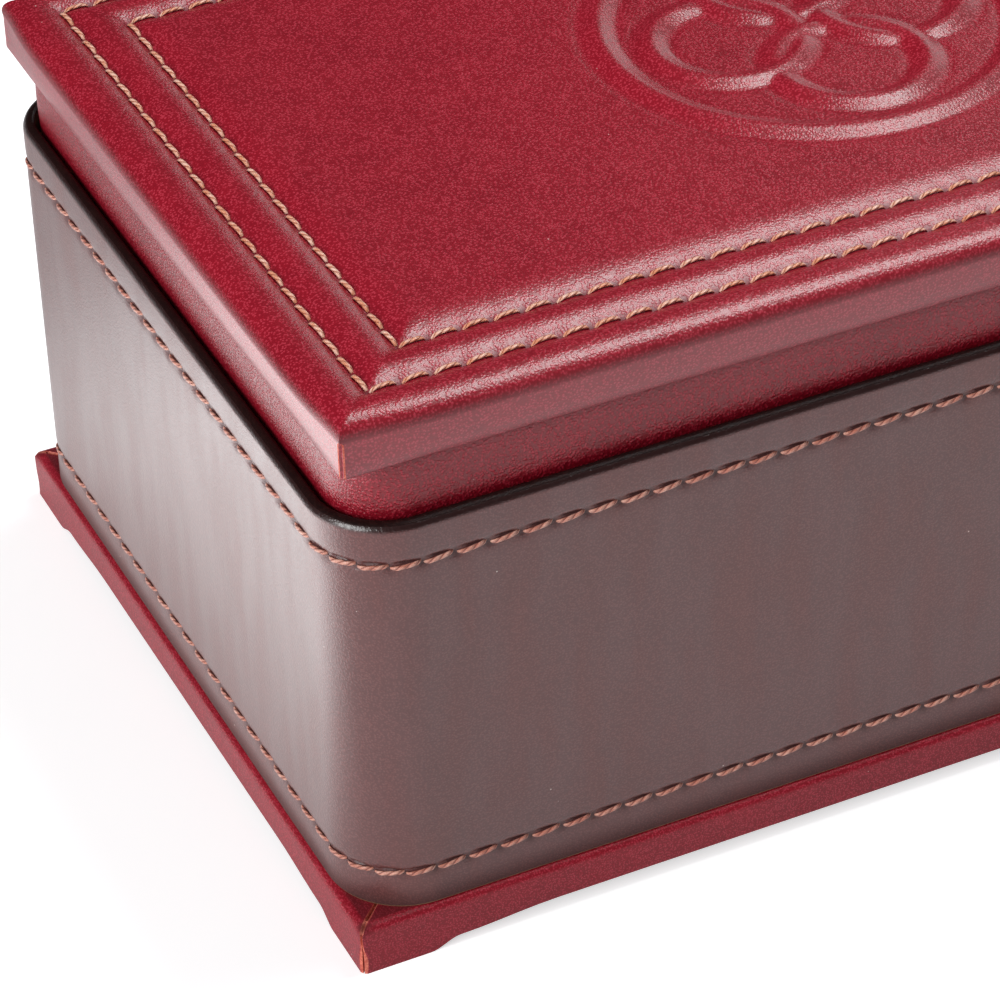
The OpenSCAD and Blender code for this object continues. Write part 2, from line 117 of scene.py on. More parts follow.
# %% A socket that understands arithmetic
class Value:
    """What a node gives: a number, a colour or a place, which changes over the surface."""

    def __init__(self, finish, socket):
        self.finish = finish
        self.socket = socket

    def math(self, operation, *values, clamp=False):
        sockets = dict(enumerate(values))
        return self.finish.node("Math", {"operation": operation, "use_clamp": clamp}, sockets)

    def __add__(self, other):
        return self.math("ADD", self, other)

    def __sub__(self, other):
        return self.math("SUBTRACT", self, other)

    def __rsub__(self, other):
        return self.math("SUBTRACT", other, self)

    def __mul__(self, other):
        return self.math("MULTIPLY", self, other)

    def __truediv__(self, other):
        return self.math("DIVIDE", self, other)

    __radd__ = __add__
    __rmul__ = __mul__

    def between(self, low, high):
        """0 below low, 1 above high, and a smooth step from one to the other."""
        settings = {"interpolation_type": "SMOOTHSTEP"}
        return self.finish.node("MapRange", settings, {"Value": self, "From Min": low, "From Max": high})


# %% A finish and its nodes
class Finish:
    """A node tree, a material's or the world's, that nodes are added to."""

    def __init__(self, tree):
        self.tree = tree

    def feed(self, node, sockets):
        """Gives a node's sockets their values: other nodes' results, colours or numbers."""
        for key, value in sockets.items():
            socket = node.inputs[key]
            if isinstance(value, Value):
                self.tree.links.new(value.socket, socket)
            elif socket.type == "RGBA":
                socket.default_value = (*value, 1)
            else:
                socket.default_value = value

    def node(self, kind, settings, sockets, out=0):
        made = self.tree.nodes.new("ShaderNode" + kind)
        for key, value in settings.items():
            setattr(made, key, value)
        self.feed(made, sockets)
        return Value(self, made.outputs[out])

    def place(self, kind):
        """Where a point lies on the object or its UV map, or, as Normal, which way it faces."""
        return self.node("TexCoord", {}, {}, out=kind)

    def attribute(self, name):
        """A number that the mesh stores at each vertex."""
        return self.node("Attribute", {"attribute_name": name}, {}, out="Fac")

    def rays(self, kind):
        """1 for rays of this kind, such as those that come straight from the camera."""
        return self.node("LightPath", {}, {}, out=f"Is {kind} Ray")

    def mix(self, amount, first, second):
        """Goes from the first colour to the second."""
        return self.node("Mix", {"data_type": "RGBA"}, {0: amount, 6: first, 7: second}, out=2)

    def noise(self, where, size, detail=2, roughness=0.5, stretch=0.0):
        """Soft clouds whose lumps are about this size, in metres."""
        sockets = {"Vector": where, "Scale": 1 / size, "Detail": detail, "Roughness": roughness}
        return self.node("TexNoise", {}, sockets | {"Distortion": stretch}, out="Fac")

    def cells(self, where, size, feature, out="Distance"):
        """Cells of about this size, in metres, like the pebbles of a grain."""
        return self.node("TexVoronoi", {"feature": feature}, {"Vector": where, "Scale": 1 / size}, out=out)

    def spots(self, where, size, share):
        """1 on a few small dots and 0 elsewhere; share is a dot's radius in parts of the spacing."""
        near = self.cells(where, size, "F1")
        return 1 - near.between(share * 0.55, share)

    def stretched(self, where, scale):
        """The coordinates squeezed along each axis, which draws a pattern out along the others."""
        return self.node("Mapping", {}, {"Vector": where, "Scale": scale})

    def axes(self, where):
        """The three coordinates as numbers."""
        return [self.node("SeparateXYZ", {}, {0: where}, out=axis) for axis in "XYZ"]

    def bump(self, height, depth):
        """Shades the surface as if it rose and fell by this depth, in metres."""
        return self.node("Bump", {}, {"Height": height, "Distance": depth, "Strength": 1.0}, out="Normal")


def new_finish(name):
    """A fresh material: (material, finish, its Principled shader, place on the object)."""
    material = bpy.data.materials.new(name)
    material.use_nodes = True
    finish = Finish(material.node_tree)
    return material, finish, material.node_tree.nodes["Principled BSDF"], finish.place("Object")


def deeper(colour, share):
    """A colour with only this share of its light."""
    return tuple(part * share for part in colour)


def srgb(red, green, blue):
    """A colour as a picture shows it, 0 to 255, as the linear numbers that a shader wants."""
    shares = [value / 255 for value in (red, green, blue)]
    return tuple(v / 12.92 if v <= 0.04045 else ((v + 0.055) / 1.055) ** 2.4 for v in shares)


# %% [markdown]
# ## Leather
# Creases, stitch holes and places under other parts are darkened with painted shade.
# The pebble tops are dyed lighter and the pits darker, a painted glint and painted shade on the grain beside
# its real mottling.
# Smooth calf leather isn't one colour. The dye is a little darker in clouds a few centimetres wide and
# mottled on a scale of millimetres. Its surface is a mosaic of pebbles less than half a millimetre across,
# which breaks a highlight into sparks. Fine wrinkles cross it, and a few specks of dust lie on it.
# The finish is a wax polish: a second, glossier layer, which the shader calls the coat.
# The same recipe makes the red and the brown leather, with other colours and another grain.

# %% Leather finish
DUST = srgb(240, 225, 215)


def leather(name, dyes, grain, relief, rough, coat=0.0, mirror=0.5, streak=None, rim=None):
    """Waxed leather; streak tints it in upright streaks, and towards the height rim it is dyed near black: a
    burnished edge, darkened further as painted shade.
    """
    dark, middle, light = dyes
    material, finish, shader, where = new_finish(name)
    clouds = finish.noise(where, 45 * MM)
    mottle = finish.noise(where, 5 * MM, detail=4, roughness=0.6)
    fine = finish.noise(where, grain * 0.8, roughness=0.6)
    pebble = 1 - finish.cells(where, grain, "F1").between(0.15, 0.7)
    wrinkle = finish.noise(finish.stretched(where, (1, 1, 3.2)), 0.9 * MM, stretch=0.4)
    crease, dull = finish.attribute("creased"), finish.attribute("dull")

    tone = (clouds * 0.5 + mottle * 0.5).between(0.3, 0.62)
    # Painted glint and shade on the grain: pebble tops get lighter dye, and the pits darker.
    painted_glint_and_grain = (pebble * 0.5 + fine * 0.9 - 0.2).between(0.2, 0.8)
    dye = finish.mix(tone * 0.25 + painted_glint_and_grain * 0.65, dark, middle)
    dye = finish.mix(painted_glint_and_grain.between(0.4, 1.0) * 0.24, dye, light)
    wax = coat * (1 - crease) * (1 - dull)
    if streak:
        streaks = finish.noise(finish.stretched(where, (1, 1, 0.2)), 5 * MM, detail=3)
        dye = finish.mix(streaks.between(0.42, 0.75) * 0.15, dye, streak)
        wax = wax * (1 - streaks.between(0.35, 0.65) * 0.35)
    else:
        wax = wax * (1 - finish.axes(finish.place("Normal"))[2].between(0.1, 0.5))
    # Painted shade: the dye goes nearly black where the mesh marks shade, in creases, holes and under other
    # parts.
    dye = finish.mix(crease * 0.85, dye, deeper(dark, 0.3))
    if rim:
        # Near black towards the rim: a burnished edge, darkened further as painted shade.
        burnish_and_shade = finish.axes(where)[2].between(rim - 0.5 * MM, rim)
        dye = finish.mix(burnish_and_shade * 0.92, dye, deeper(dark, 0.2))
    finish.feed(shader, {
        "Base Color": finish.mix(finish.spots(where, 6 * MM, 0.02) * 0.7, dye, DUST),
        "Roughness": rough - 0.04 + 0.08 * mottle + 0.45 * crease + 0.25 * dull,
        "IOR": 1.55,
        "Specular IOR Level": mirror,
        "Coat Weight": wax,
        "Coat Roughness": rough,
        "Coat IOR": 1.5,
        "Normal": finish.bump(pebble * 0.6 + fine * 0.4 + wrinkle * 0.9, relief),
    })
    return material


# Each set is dark, middle and light. The pits take the dark dye and the pebble tops the light one, a painted
# shade and glint on the grain.
RED_DYES = srgb(124, 6, 26), srgb(171, 17, 40), srgb(206, 90, 110)
# The collar's dyes are a darker copy of the plate's: painted shade, as it sits under the plate's overhang.
COLLAR_SHADED_DYES = srgb(112, 4, 22), srgb(164, 17, 38), srgb(194, 66, 86)
BROWN_DYES = srgb(84, 42, 41), srgb(107, 57, 56), srgb(126, 78, 73)
# Near-black dyes of the rim: a burnished edge with painted shade.
BURNISHED_SHADED_DYES = srgb(26, 10, 10), srgb(40, 18, 16), srgb(58, 32, 28)
RED_LEATHER = leather(
    "red_leather_plate", RED_DYES, grain=0.34 * MM, relief=0.034 * MM, rough=0.33, coat=0.5, mirror=0.6
)
RED_COLLAR = leather(
    "red_leather_collar", COLLAR_SHADED_DYES, grain=0.36 * MM, relief=0.085 * MM, rough=0.3, coat=0.15
)
RED_BASE = leather(
    "red_leather_base", RED_DYES, grain=0.26 * MM, relief=0.03 * MM, rough=0.42, mirror=0.38
)
BROWN_LEATHER = leather(
    "brown_leather_waxed", BROWN_DYES, grain=0.3 * MM, relief=0.035 * MM, rough=0.3, coat=0.6,
    streak=srgb(136, 70, 58), rim=band_high.z - 0.65 * MM,
)
BURNISHED_SHADED = leather(
    "brown_leather_burnished_shaded", BURNISHED_SHADED_DYES, grain=0.3 * MM, relief=0.02 * MM, rough=0.4, mirror=0.2
)
print("leathers:", RED_LEATHER.name, RED_COLLAR.name, RED_BASE.name, BROWN_LEATHER.name, BURNISHED_SHADED.name)

# %% [markdown]
# ## The other finishes
# A cut edge of leather is paler and rougher than its face, because the dye doesn't reach the middle.
# Suede and felt are short fibres: matt, a little velvety, with cloudy marks where the nap lies another way.
# The walls and boards are plain wood, and the hinges are polished brass with fine scratches.

# %% Raw edge, suede, felt, wood and brass
def raw_edge(name, dark, light):
    material, finish, shader, where = new_finish(name)
    fibre = finish.noise(where, 0.35 * MM, detail=3, roughness=0.7)
    dye = finish.mix(fibre.between(0.3, 0.7), dark, light)
    # Painted shade: the raw edge goes nearly black where the mesh marks shade.
    finish.feed(shader, {
        "Base Color": finish.mix(finish.attribute("creased") * 0.9, dye, deeper(dark, 0.15)),
        "Roughness": 0.6,
        "Normal": finish.bump(fibre, 0.08 * MM),
    })
    return material


def napped(name, dark, light, nap, relief):
    material, finish, shader, where = new_finish(name)
    brushed = finish.noise(where, 16 * MM, detail=3, roughness=0.65, stretch=0.6)
    fibre = finish.noise(where, nap, detail=3, roughness=0.7)
    tone = brushed.between(0.25, 0.75) * 0.55 + fibre.between(0.3, 0.7) * 0.45
    finish.feed(shader, {
        "Base Color": finish.mix(tone, dark, light),
        "Roughness": 0.8 + 0.15 * fibre,
        "Specular IOR Level": 0.2,
        "Sheen Weight": 0.35,
        "Sheen Roughness": 0.5,
        "Normal": finish.bump(fibre, relief),
    })
    return material


def plain_wood(name, dark, light):
    material, finish, shader, where = new_finish(name)
    grain = finish.noise(finish.stretched(where, (0.08, 1, 1)), 1.6 * MM, detail=4, roughness=0.6)
    pores = finish.noise(finish.stretched(where, (0.05, 1, 1)), 0.5 * MM, detail=1)
    finish.feed(shader, {
        "Base Color": finish.mix(grain.between(0.3, 0.7), dark, light),
        "Roughness": 0.5 + 0.2 * pores,
        "Normal": finish.bump(grain * 0.6 + pores * 0.4, 0.06 * MM),
    })
    return material


def polished_brass(name, dark, light):
    material, finish, shader, where = new_finish(name)
    cloud = finish.noise(where, 3 * MM, detail=3)
    scratch = finish.noise(finish.stretched(where, (0.06, 1, 1)), 0.25 * MM)
    finish.feed(shader, {
        "Base Color": finish.mix(cloud, dark, light),
        "Metallic": 1.0,
        "Roughness": 0.2 + 0.12 * cloud + 0.1 * scratch,
        "Normal": finish.bump(scratch, 0.01 * MM),
    })
    return material


ORANGE_EDGE = raw_edge("red_leather_raw_edge", srgb(188, 74, 60), srgb(234, 130, 108))
TAN_EDGE = raw_edge("brown_leather_raw_edge", srgb(112, 82, 58), srgb(164, 128, 96))
SUEDE = napped("beige_suede", srgb(138, 112, 86), srgb(174, 146, 115), nap=0.35 * MM, relief=0.08 * MM)
FELT = napped("dark_felt", srgb(52, 42, 36), srgb(84, 70, 60), nap=0.6 * MM, relief=0.2 * MM)
WOOD = plain_wood("plain_board", srgb(166, 126, 80), srgb(204, 168, 118))
BRASS = polished_brass("hinge_brass", srgb(176, 134, 62), srgb(208, 170, 96))
print("finishes:", [m.name for m in (ORANGE_EDGE, TAN_EDGE, SUEDE, FELT, WOOD, BRASS)])

# %% [markdown]
# ## Thread
# The thread is waxed linen of two plies. Each stitch is one small tube; the plies are drawn on it, with
# painted shade in the groove between them and a painted shine on their crowns.
# A diagonal stripe on a tube needs a map that runs along and round it, so the stitch carries UVs:
# u goes along the stitch and v round it, and the groove between the plies is where 2v + turns * u is whole.

# %% Thread finish
THREAD_TURNS = 3.0


def waxed_thread(name, groove, ply, painted_shine):
    material, finish, shader, where = new_finish(name)
    u, v, _ = finish.axes(finish.place("UV"))
    wind = (v * 2 + u * THREAD_TURNS) * math.pi
    round_ply = wind.math("ABSOLUTE", wind.math("SINE", wind))
    fuzz = finish.noise(where, 0.12 * MM, roughness=0.7)
    wear = finish.noise(where, 1.7 * MM)
    # Painted shade: the groove between the plies is dyed darker.
    colour = finish.mix(round_ply.between(0.05, 0.5), groove, ply)
    # Painted shine on the crowns of the plies, patchy with fuzz and wear.
    painted_glint_and_grain = (fuzz * 0.5 + wear * 0.5).between(0.4, 0.62) * round_ply * 0.8
    finish.feed(shader, {
        "Base Color": finish.mix(painted_glint_and_grain, colour, painted_shine),
        "Roughness": 0.38 + 0.25 * fuzz,
        "Coat Weight": 0.4,
        "Coat Roughness": 0.22,
        "Sheen Weight": 0.15,
        "Normal": finish.bump(round_ply + fuzz * 0.25, 0.14 * MM),
    })
    return material


# Colours: the groove's painted shade, the ply, and its painted shine.
GOLD_THREAD = waxed_thread("golden_thread", srgb(160, 78, 50), srgb(216, 138, 98), srgb(248, 216, 200))
COPPER_THREAD = waxed_thread("copper_thread", srgb(134, 62, 48), srgb(188, 110, 90), srgb(232, 180, 160))
print("threads:", GOLD_THREAD.name, COPPER_THREAD.name)

# %% [markdown]
# ## Modelling helpers
# Some pieces start as a block or a grid, and others are a profile carried round a rectangle. For those,
# `outline` starts a ring of edges, a rectangle with round corners, and `carry` extrudes that ring to the
# profile's next point, over and over, which is how a wall, its rim and its inside are drawn.

# %% Selecting and finishing
def clear():
    """Leaves edit mode and selects nothing."""
    if bpy.context.object and bpy.context.mode != "OBJECT":
        bpy.ops.object.mode_set(mode="OBJECT")
    bpy.ops.object.select_all(action="DESELECT")


def take(piece):
    """Makes this the one selected piece."""
    clear()
    piece.select_set(True)
    bpy.context.view_layer.objects.active = piece


def edit(piece, kind="VERT"):
    take(piece)
    bpy.ops.object.mode_set(mode="EDIT")
    bpy.ops.mesh.select_mode(type=kind)


def select_all():
    bpy.ops.mesh.select_all(action="SELECT")


def extrude(way=(0, 0, 0)):
    """Extrudes what is selected and moves it this way."""
    bpy.ops.mesh.extrude_region_move(TRANSFORM_OT_translate={"value": way})


def block(low, high):
    """A box between two corners."""
    clear()
    low, high = Vector(low), Vector(high)
    bpy.ops.mesh.primitive_cube_add(size=1, location=(low + high) / 2, scale=high - low)
    bpy.ops.object.transform_apply(location=True, rotation=False, scale=True)
    return bpy.context.object


def modify(piece, kind, **settings):
    """Adds a modifier with these settings and applies it."""
    take(piece)
    modifier = piece.modifiers.new(kind.lower(), kind)
    for key, value in settings.items():
        setattr(modifier, key, value)
    bpy.ops.object.modifier_apply(modifier=modifier.name)


def soften(piece, width):
    """Rounds every sharp edge of a piece."""
    modify(piece, "BEVEL", width=width, segments=3, limit_method="ANGLE")


def pick(piece, kind, test):
    """In edit mode, selects the vertices, edges or faces that pass the test, and counts them."""
    mesh = bmesh.from_edit_mesh(piece.data)
    groups = {"VERT": mesh.verts, "EDGE": mesh.edges, "FACE": mesh.faces}
    for group in groups.values():
        for part in group:
            part.select = False
    bpy.ops.mesh.select_mode(type=kind)
    found = [part for part in groups[kind] if test(part)]
    for part in found:
        part.select_set(True)
    mesh.select_flush_mode()
    bmesh.update_edit_mesh(piece.data)
    return len(found)


def points_of(piece):
    """The piece's vertices as rows of x, y, z."""
    points = np.empty(len(piece.data.vertices) * 3)
    piece.data.vertices.foreach_get("co", points)
    return points.reshape(-1, 3)


def set_points(piece, points):
    piece.data.vertices.foreach_set("co", points.reshape(-1))
    piece.data.update()


def paint(piece, *materials):
    piece.data.materials.clear()
    for material in materials:
        piece.data.materials.append(material)


def mark(piece, name, amounts):
    """Stores a number from 0 to 1 at each vertex for the leather's finish to read.

    The shade number is painted shade: how far the dye darkens at a vertex in creases, holes and under other
    parts. The dull number is how little polish a vertex has."""
    layer = piece.data.attributes.new(name, "FLOAT", "POINT")
    layer.data.foreach_set("value", np.clip(amounts, 0, 1))


def complete(piece, name, body, slot, *nodes, angle=40):
    """Smooths the shading, names the piece, says what it rides on, and hides the CAD nodes that it stands
    for.
    """
    take(piece)
    bpy.ops.object.transform_apply(location=True, rotation=True, scale=True)
    bpy.ops.object.shade_smooth_by_angle(angle=math.radians(angle))
    piece.name = name
    piece.data.name = name
    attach(piece, body)
    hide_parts(*nodes)
    clear()
    print(name, len(piece.data.polygons), "faces")


def fade(gap, reach):
    """1 where the gap is 0, falling softly to 0 at about this reach."""
    return np.exp(-((gap / reach) ** 2))


# %% An outline and the profile that is carried round it
CLOSE = 0.001 * MM  # Points nearer than this are in one place.
MOST_PARTS = 100  # Blender's subdivide splits an edge into about this many parts at most.


def nearest_core(x, y, half, radius):
    """The nearest point of the rectangle that the round corners turn about."""
    core_x, core_y = half[0] - radius, half[1] - radius
    return min(max(x, -core_x), core_x), min(max(y, -core_y), core_y)


def outline(half, radius, spans, steps):
    """A ring of edges in edit mode: a rectangle with round corners, its sides split into equal spans."""
    clear()
    bpy.ops.mesh.primitive_plane_add(size=2)
    piece = bpy.context.object
    edit(piece)
    select_all()
    bpy.ops.transform.resize(value=(*half, 1))
    bpy.ops.mesh.bevel(offset=radius, segments=steps, affect="VERTICES")
    select_all()
    bpy.ops.mesh.delete(type="ONLY_FACE")
    for axis, across in ((0, 1), (1, 0)):
        def on_side(edge):
            middle = (edge.verts[0].co + edge.verts[1].co) / 2
            on_edge = abs(abs(middle[across]) - half[across]) < CLOSE
            return on_edge and edge.calc_length() > half[axis] - radius
        pick(piece, "EDGE", on_side)
        left = spans[axis]
        while left > 1:
            parts = max(k for k in range(2, MOST_PARTS + 1) if left % k == 0)
            bpy.ops.mesh.subdivide(number_cuts=parts - 1)
            left //= parts
    select_all()
    return piece


def carry(piece, half, radius, profile):
    """Extrudes the selected ring through the profile: each point is (outward from the outline, height)."""
    for index, (outward, height) in enumerate(profile):
        if index:
            extrude()
        mesh = bmesh.from_edit_mesh(piece.data)
        for vertex in mesh.verts:
            if vertex.select:
                core = nearest_core(vertex.co.x, vertex.co.y, half, radius)
                way = Vector((vertex.co.x - core[0], vertex.co.y - core[1], 0)).normalized()
                vertex.co = Vector((*core, height)) + way * (radius + outward)
        bmesh.update_edit_mesh(piece.data)


def close_up():
    """Merges what meets, turns every face outwards and leaves edit mode."""
    select_all()
    bpy.ops.mesh.remove_doubles(threshold=2 * CLOSE)
    bpy.ops.mesh.normals_make_consistent(inside=False)
    bpy.ops.object.mode_set(mode="OBJECT")


def sweep(half, radius, profile, spans, steps):
    """A closed profile carried round a rectangle with round corners."""
    piece = outline(half, radius, spans, steps)
    carry(piece, half, radius, profile)
    close_up()
    return piece


def arc(centre, radius, start, end, steps):
    """Points of an arc in a profile, from one angle to another in degrees."""
    turns = [math.radians(start + (end - start) * i / steps) for i in range(steps + 1)]
    return [(centre[0] + radius * math.cos(t), centre[1] + radius * math.sin(t)) for t in turns]


print("helpers ready")

# %% [markdown]
# ## Where the stitches go
# Hand stitches are even because the holes are pricked first with a fork. Each row is therefore a list of
# places: the middle of the stitch, its direction, the way out of the leather, and its length.
# The same list presses the holes into the leather and carries the thread, so that both agree.
# A saddle stitch leans a little, because each new stitch starts below the end of the last one.

# %% Rows of stitches
SLOT_UP, SLOT_HALF, SLOT_HIGH = 0.45 * MM, 1.2 * MM, 0.22 * MM


class Stitch:
    """The place of one stitch."""

    def __init__(self, middle, along, out, length):
        self.middle = Vector(middle)
        self.along = Vector(along).normalized()
        self.out = Vector(out).normalized()
        self.length = length

    def hole(self):
        """Where the stitch starts."""
        return self.middle - self.along * self.length / 2


def straight_row(start, end, out, pitch):
    start, end = Vector(start), Vector(end)
    count = round((end - start).length / pitch)
    step = (end - start) / count
    return [Stitch(start + step * (i + 0.5), step, out, step.length) for i in range(count)]


def lid_row(inset):
    """A square ring of stitches on the lid, at this distance from its edge."""
    x, y = LID_HALF[0] - inset, LID_HALF[1] - inset
    corners = [(-x, -y), (x, -y), (x, y), (-x, y)]
    row = []
    for i, corner in enumerate(corners):
        after = corners[(i + 1) % 4]
        row += straight_row((*corner, lid_high.z), (*after, lid_high.z), (0, 0, 1), LID_PITCH)
    return row


def band_row(height):
    """A ring of stitches on the wall."""
    half, row = BAND_HALF, []
    flat = (half[0] - BAND_R, half[1] - BAND_R)
    bends = round(BAND_R * math.pi / 2 / BAND_PITCH)
    bend = math.pi / 2 / bends
    for side in range(4):
        turned = Matrix.Rotation(side * math.pi / 2, 3, "Z")
        run, depth = (flat[0], half[1]) if side % 2 == 0 else (flat[1], half[0])
        start, end = turned @ Vector((-run, -depth, height)), turned @ Vector((run, -depth, height))
        row += straight_row(start, end, turned @ Vector((0, -1, 0)), BAND_PITCH)
        for i in range(bends):
            angle = -math.pi / 2 + (i + 0.5) * bend
            out = Vector((math.cos(angle), math.sin(angle), 0))
            along = Vector((-out.y, out.x, 0))
            middle = Vector((run, -depth + BAND_R, height)) + out * BAND_R
            row.append(Stitch(turned @ middle, turned @ along, turned @ out, BAND_R * bend))
    return row


def clear_of_hinges(stitch):
    at_back = stitch.out.y > 0.9
    return not at_back or abs(abs(stitch.middle.x) - HINGE_X) >= HINGE_ROOM


OUTER_STITCHES = lid_row(OUTER_ROW)
INNER_STITCHES = lid_row(INNER_ROW)
UPPER_STITCHES = [stitch for stitch in band_row(UPPER_ROW_Z) if clear_of_hinges(stitch)]
LOWER_STITCHES = band_row(LOWER_ROW_Z)
print("stitches:", len(OUTER_STITCHES), len(INNER_STITCHES), len(UPPER_STITCHES), len(LOWER_STITCHES))


def near_hole(points, stitches, reach):
    """1 at a stitch hole, falling softly to 0 at about this reach, for every point."""
    closest = np.full(len(points), np.inf)
    for stitch in stitches:
        closest = np.minimum(closest, np.linalg.norm(points - np.array(stitch.hole()), axis=1))
    return fade(closest, reach)


def near_slot(points, stitches):
    """1 in the slit that gapes above each stitch of a wall row, falling softly to 0 round it."""
    slot = np.zeros(len(points))
    for stitch in stitches:
        gap = points - np.array(stitch.middle)
        along = gap @ np.array(stitch.along) / SLOT_HALF
        aside = gap @ np.array(stitch.out) / SLOT_HALF
        up = (gap[:, 2] - SLOT_UP) / SLOT_HIGH
        slot = np.maximum(slot, np.exp(-(along**4 + up**2 + aside**2)))
    return slot


# %% [markdown]
# ## One stitch, and rows of it
# A stitch is a tube with eight sides whose ends dive into the leather. It starts as a circle that is
# extruded nine times. It is then copied to every place in the row, each copy with its own mesh, and the
# row is joined. A few dozen faces are enough for a shape that is repeated hundreds of times.

# %% Make a stitch
THREAD_SIDES = 8
THREAD_PARTS = 9
THREAD_DIVE = 0.45 * MM
FLATNESS = 0.66
END_TAPER = 0.3
BELLY = 0.1


def make_stitch(length, thickness):
    """A stitch along X at the origin, with Z out of the leather."""
    clear()
    bpy.ops.mesh.primitive_circle_add(
        vertices=THREAD_SIDES, radius=thickness / 2, fill_type="NGON",
        location=(-length / 2, 0, 0), rotation=(0, math.pi / 2, 0),
    )
    stitch = bpy.context.object
    bpy.ops.object.transform_apply(location=True, rotation=True, scale=True)
    edit(stitch, "FACE")
    select_all()
    for _ in range(THREAD_PARTS):
        extrude((length / THREAD_PARTS, 0, 0))
    close_up()
    wind_map(stitch, length)
    points = points_of(stitch)
    share = np.abs(points[:, 0]) / (length / 2)
    points[:, 1:] *= (1 - END_TAPER * share**4)[:, None]
    points[:, 2] *= FLATNESS
    points[:, 2] += thickness * BELLY * (1 - share**2) - THREAD_DIVE * share**5
    set_points(stitch, points)
    return stitch


def wind_map(stitch, length):
    """Writes u along the stitch and v round it, and carries v on past 1 where a face crosses the seam."""
    layer = stitch.data.uv_layers.active
    for face in stitch.data.polygons:
        rounds = []
        for corner in face.loop_indices:
            point = stitch.data.vertices[stitch.data.loops[corner].vertex_index].co
            rounds.append(math.atan2(point.z, point.y) / math.tau + 0.5)
        crosses = max(rounds) - min(rounds) > 0.5
        for corner, v in zip(face.loop_indices, rounds):
            point = stitch.data.vertices[stitch.data.loops[corner].vertex_index].co
            layer.data[corner].uv = (point.x / length + 0.5, v + 1 if crosses and v < 0.5 else v)


def sew(name, stitches, body, node, material, thickness, gap, sink, lean):
    """Copies a stitch to every place of a row and joins the row."""
    pattern = make_stitch(LID_PITCH, thickness)
    copies = []
    for place in stitches:
        copy = pattern.copy()
        copy.data = pattern.data.copy()
        bpy.context.collection.objects.link(copy)
        side = place.out.cross(place.along)
        turned = Matrix((place.along, side, place.out)).transposed().to_4x4()
        stretch = Matrix.Diagonal(((place.length - gap) / LID_PITCH, 1, 1, 1))
        middle = Matrix.Translation(place.middle - place.out * sink)
        copy.matrix_world = middle @ turned @ Matrix.Rotation(lean, 4, "Z") @ stretch
        copies.append(copy)
    bpy.data.objects.remove(pattern)
    clear()
    for copy in copies:
        copy.select_set(True)
    bpy.context.view_layer.objects.active = copies[0]
    bpy.ops.object.join()
    row = bpy.context.object
    paint(row, material)
    complete(row, name, body, "thread", node, angle=180)


# Each seam's thread, its thickness, the gap between stitches, how deep they lie, and their lean.
LID_SEAM = (GOLD_THREAD, 0.62 * MM, 0.6 * MM, 0.3 * MM, math.radians(6))
WALL_SEAM = (COPPER_THREAD, 0.64 * MM, 0.28 * MM, 0.1 * MM, math.radians(7))
sew("lid_stitches_outer", OUTER_STITCHES, "lid", "lid_thread_outer", *LID_SEAM)
sew("lid_stitches_inner", INNER_STITCHES, "lid", "lid_thread_inner", *LID_SEAM)
sew("wall_stitches_upper", UPPER_STITCHES, "box", "band_thread_upper", *WALL_SEAM)
sew("wall_stitches_lower", LOWER_STITCHES, "box", "band_thread_lower", *WALL_SEAM)

# %% [markdown]
# ## The lid's leather
# One sheet of leather lies over a thin foam. Where it is stitched down it sinks into a valley, and between
# two rows it swells into a pillow; the edge rolls over in a soft curve that gets tighter as it goes down.
# A fine grid is added at the size of the flat part, its border is extruded over the edge, down the side
# and in under the board. Then the pillows, the puckers at each stitch hole and the ornament are moved up
# and down in code, which is what a sculpting brush does by hand. A brush couldn't keep 248 stitches even.

# %% Height of the lid's surface
CREST = 0.4 * MM
PILLOW = 0.95 * MM
ROLL_START = 2.7 * MM
ROLL_DROP = 2.2 * MM
SIDE_TOP = lid_high.z + CREST - ROLL_DROP
BULGE = 0.7 * MM
TIGHT_CORNER = 7 * MM
FIELD_START = 17.0 * MM
MIDDLE_CREST = (OUTER_ROW + INNER_ROW) / 2
VALLEY_SOFT = 0.3 * MM


def roll_drop(depth):
    """How far the rolled edge has dropped at this distance from the lid's edge."""
    share = np.clip((ROLL_START - depth) / ROLL_START, 0, 1)
    return ROLL_DROP * (1 - np.sqrt(1 - share**2))


def bulge_out(depth, height, to_corner):
    """How far the padded edge stands out beyond the plate's foot; the leather is tight at the corners."""
    on_top = np.clip(1 - depth / ROLL_START, 0, 1)
    up_side = np.clip((height - lid_low.z) / (SIDE_TOP - lid_low.z), 0, 1)
    return BULGE * on_top * (1 - (1 - up_side) ** 2) * (1 - fade(to_corner, TIGHT_CORNER))


def rise(depth, row, crest):
    """0 at a row of stitches and 1 at the crest of the pillow beside it, steep first and then level."""
    gap = np.sqrt((depth - row) ** 2 + VALLEY_SOFT**2) - VALLEY_SOFT
    share = np.clip(gap / abs(crest - row), 0, 1)
    return 1 - (1 - share) ** 2


def pillow_height(depth):
    """Height of the leather against the lid's nominal top, by distance from the edge."""
    slopes = [
        (depth < OUTER_ROW, OUTER_ROW, ROLL_START),
        ((depth >= OUTER_ROW) & (depth < MIDDLE_CREST), OUTER_ROW, MIDDLE_CREST),
        ((depth >= MIDDLE_CREST) & (depth < INNER_ROW), INNER_ROW, MIDDLE_CREST),
        (depth >= INNER_ROW, INNER_ROW, FIELD_START),
    ]
    height = np.full(len(depth), CREST)
    for where, row, crest in slopes:
        height[where] -= PILLOW * (1 - rise(depth[where], row, crest))
    return height - roll_drop(depth)


# %% [markdown]
# ### The ornament
# The lid's middle carries a moulded knot: four rings linked inside a larger one, an old kind of
# leather ornament. Where two rings cross, one dips under the other; the crossings alternate round each
# ring, which is all that makes flat rings read as woven. Each ridge is a cosine with a groove at its foot.

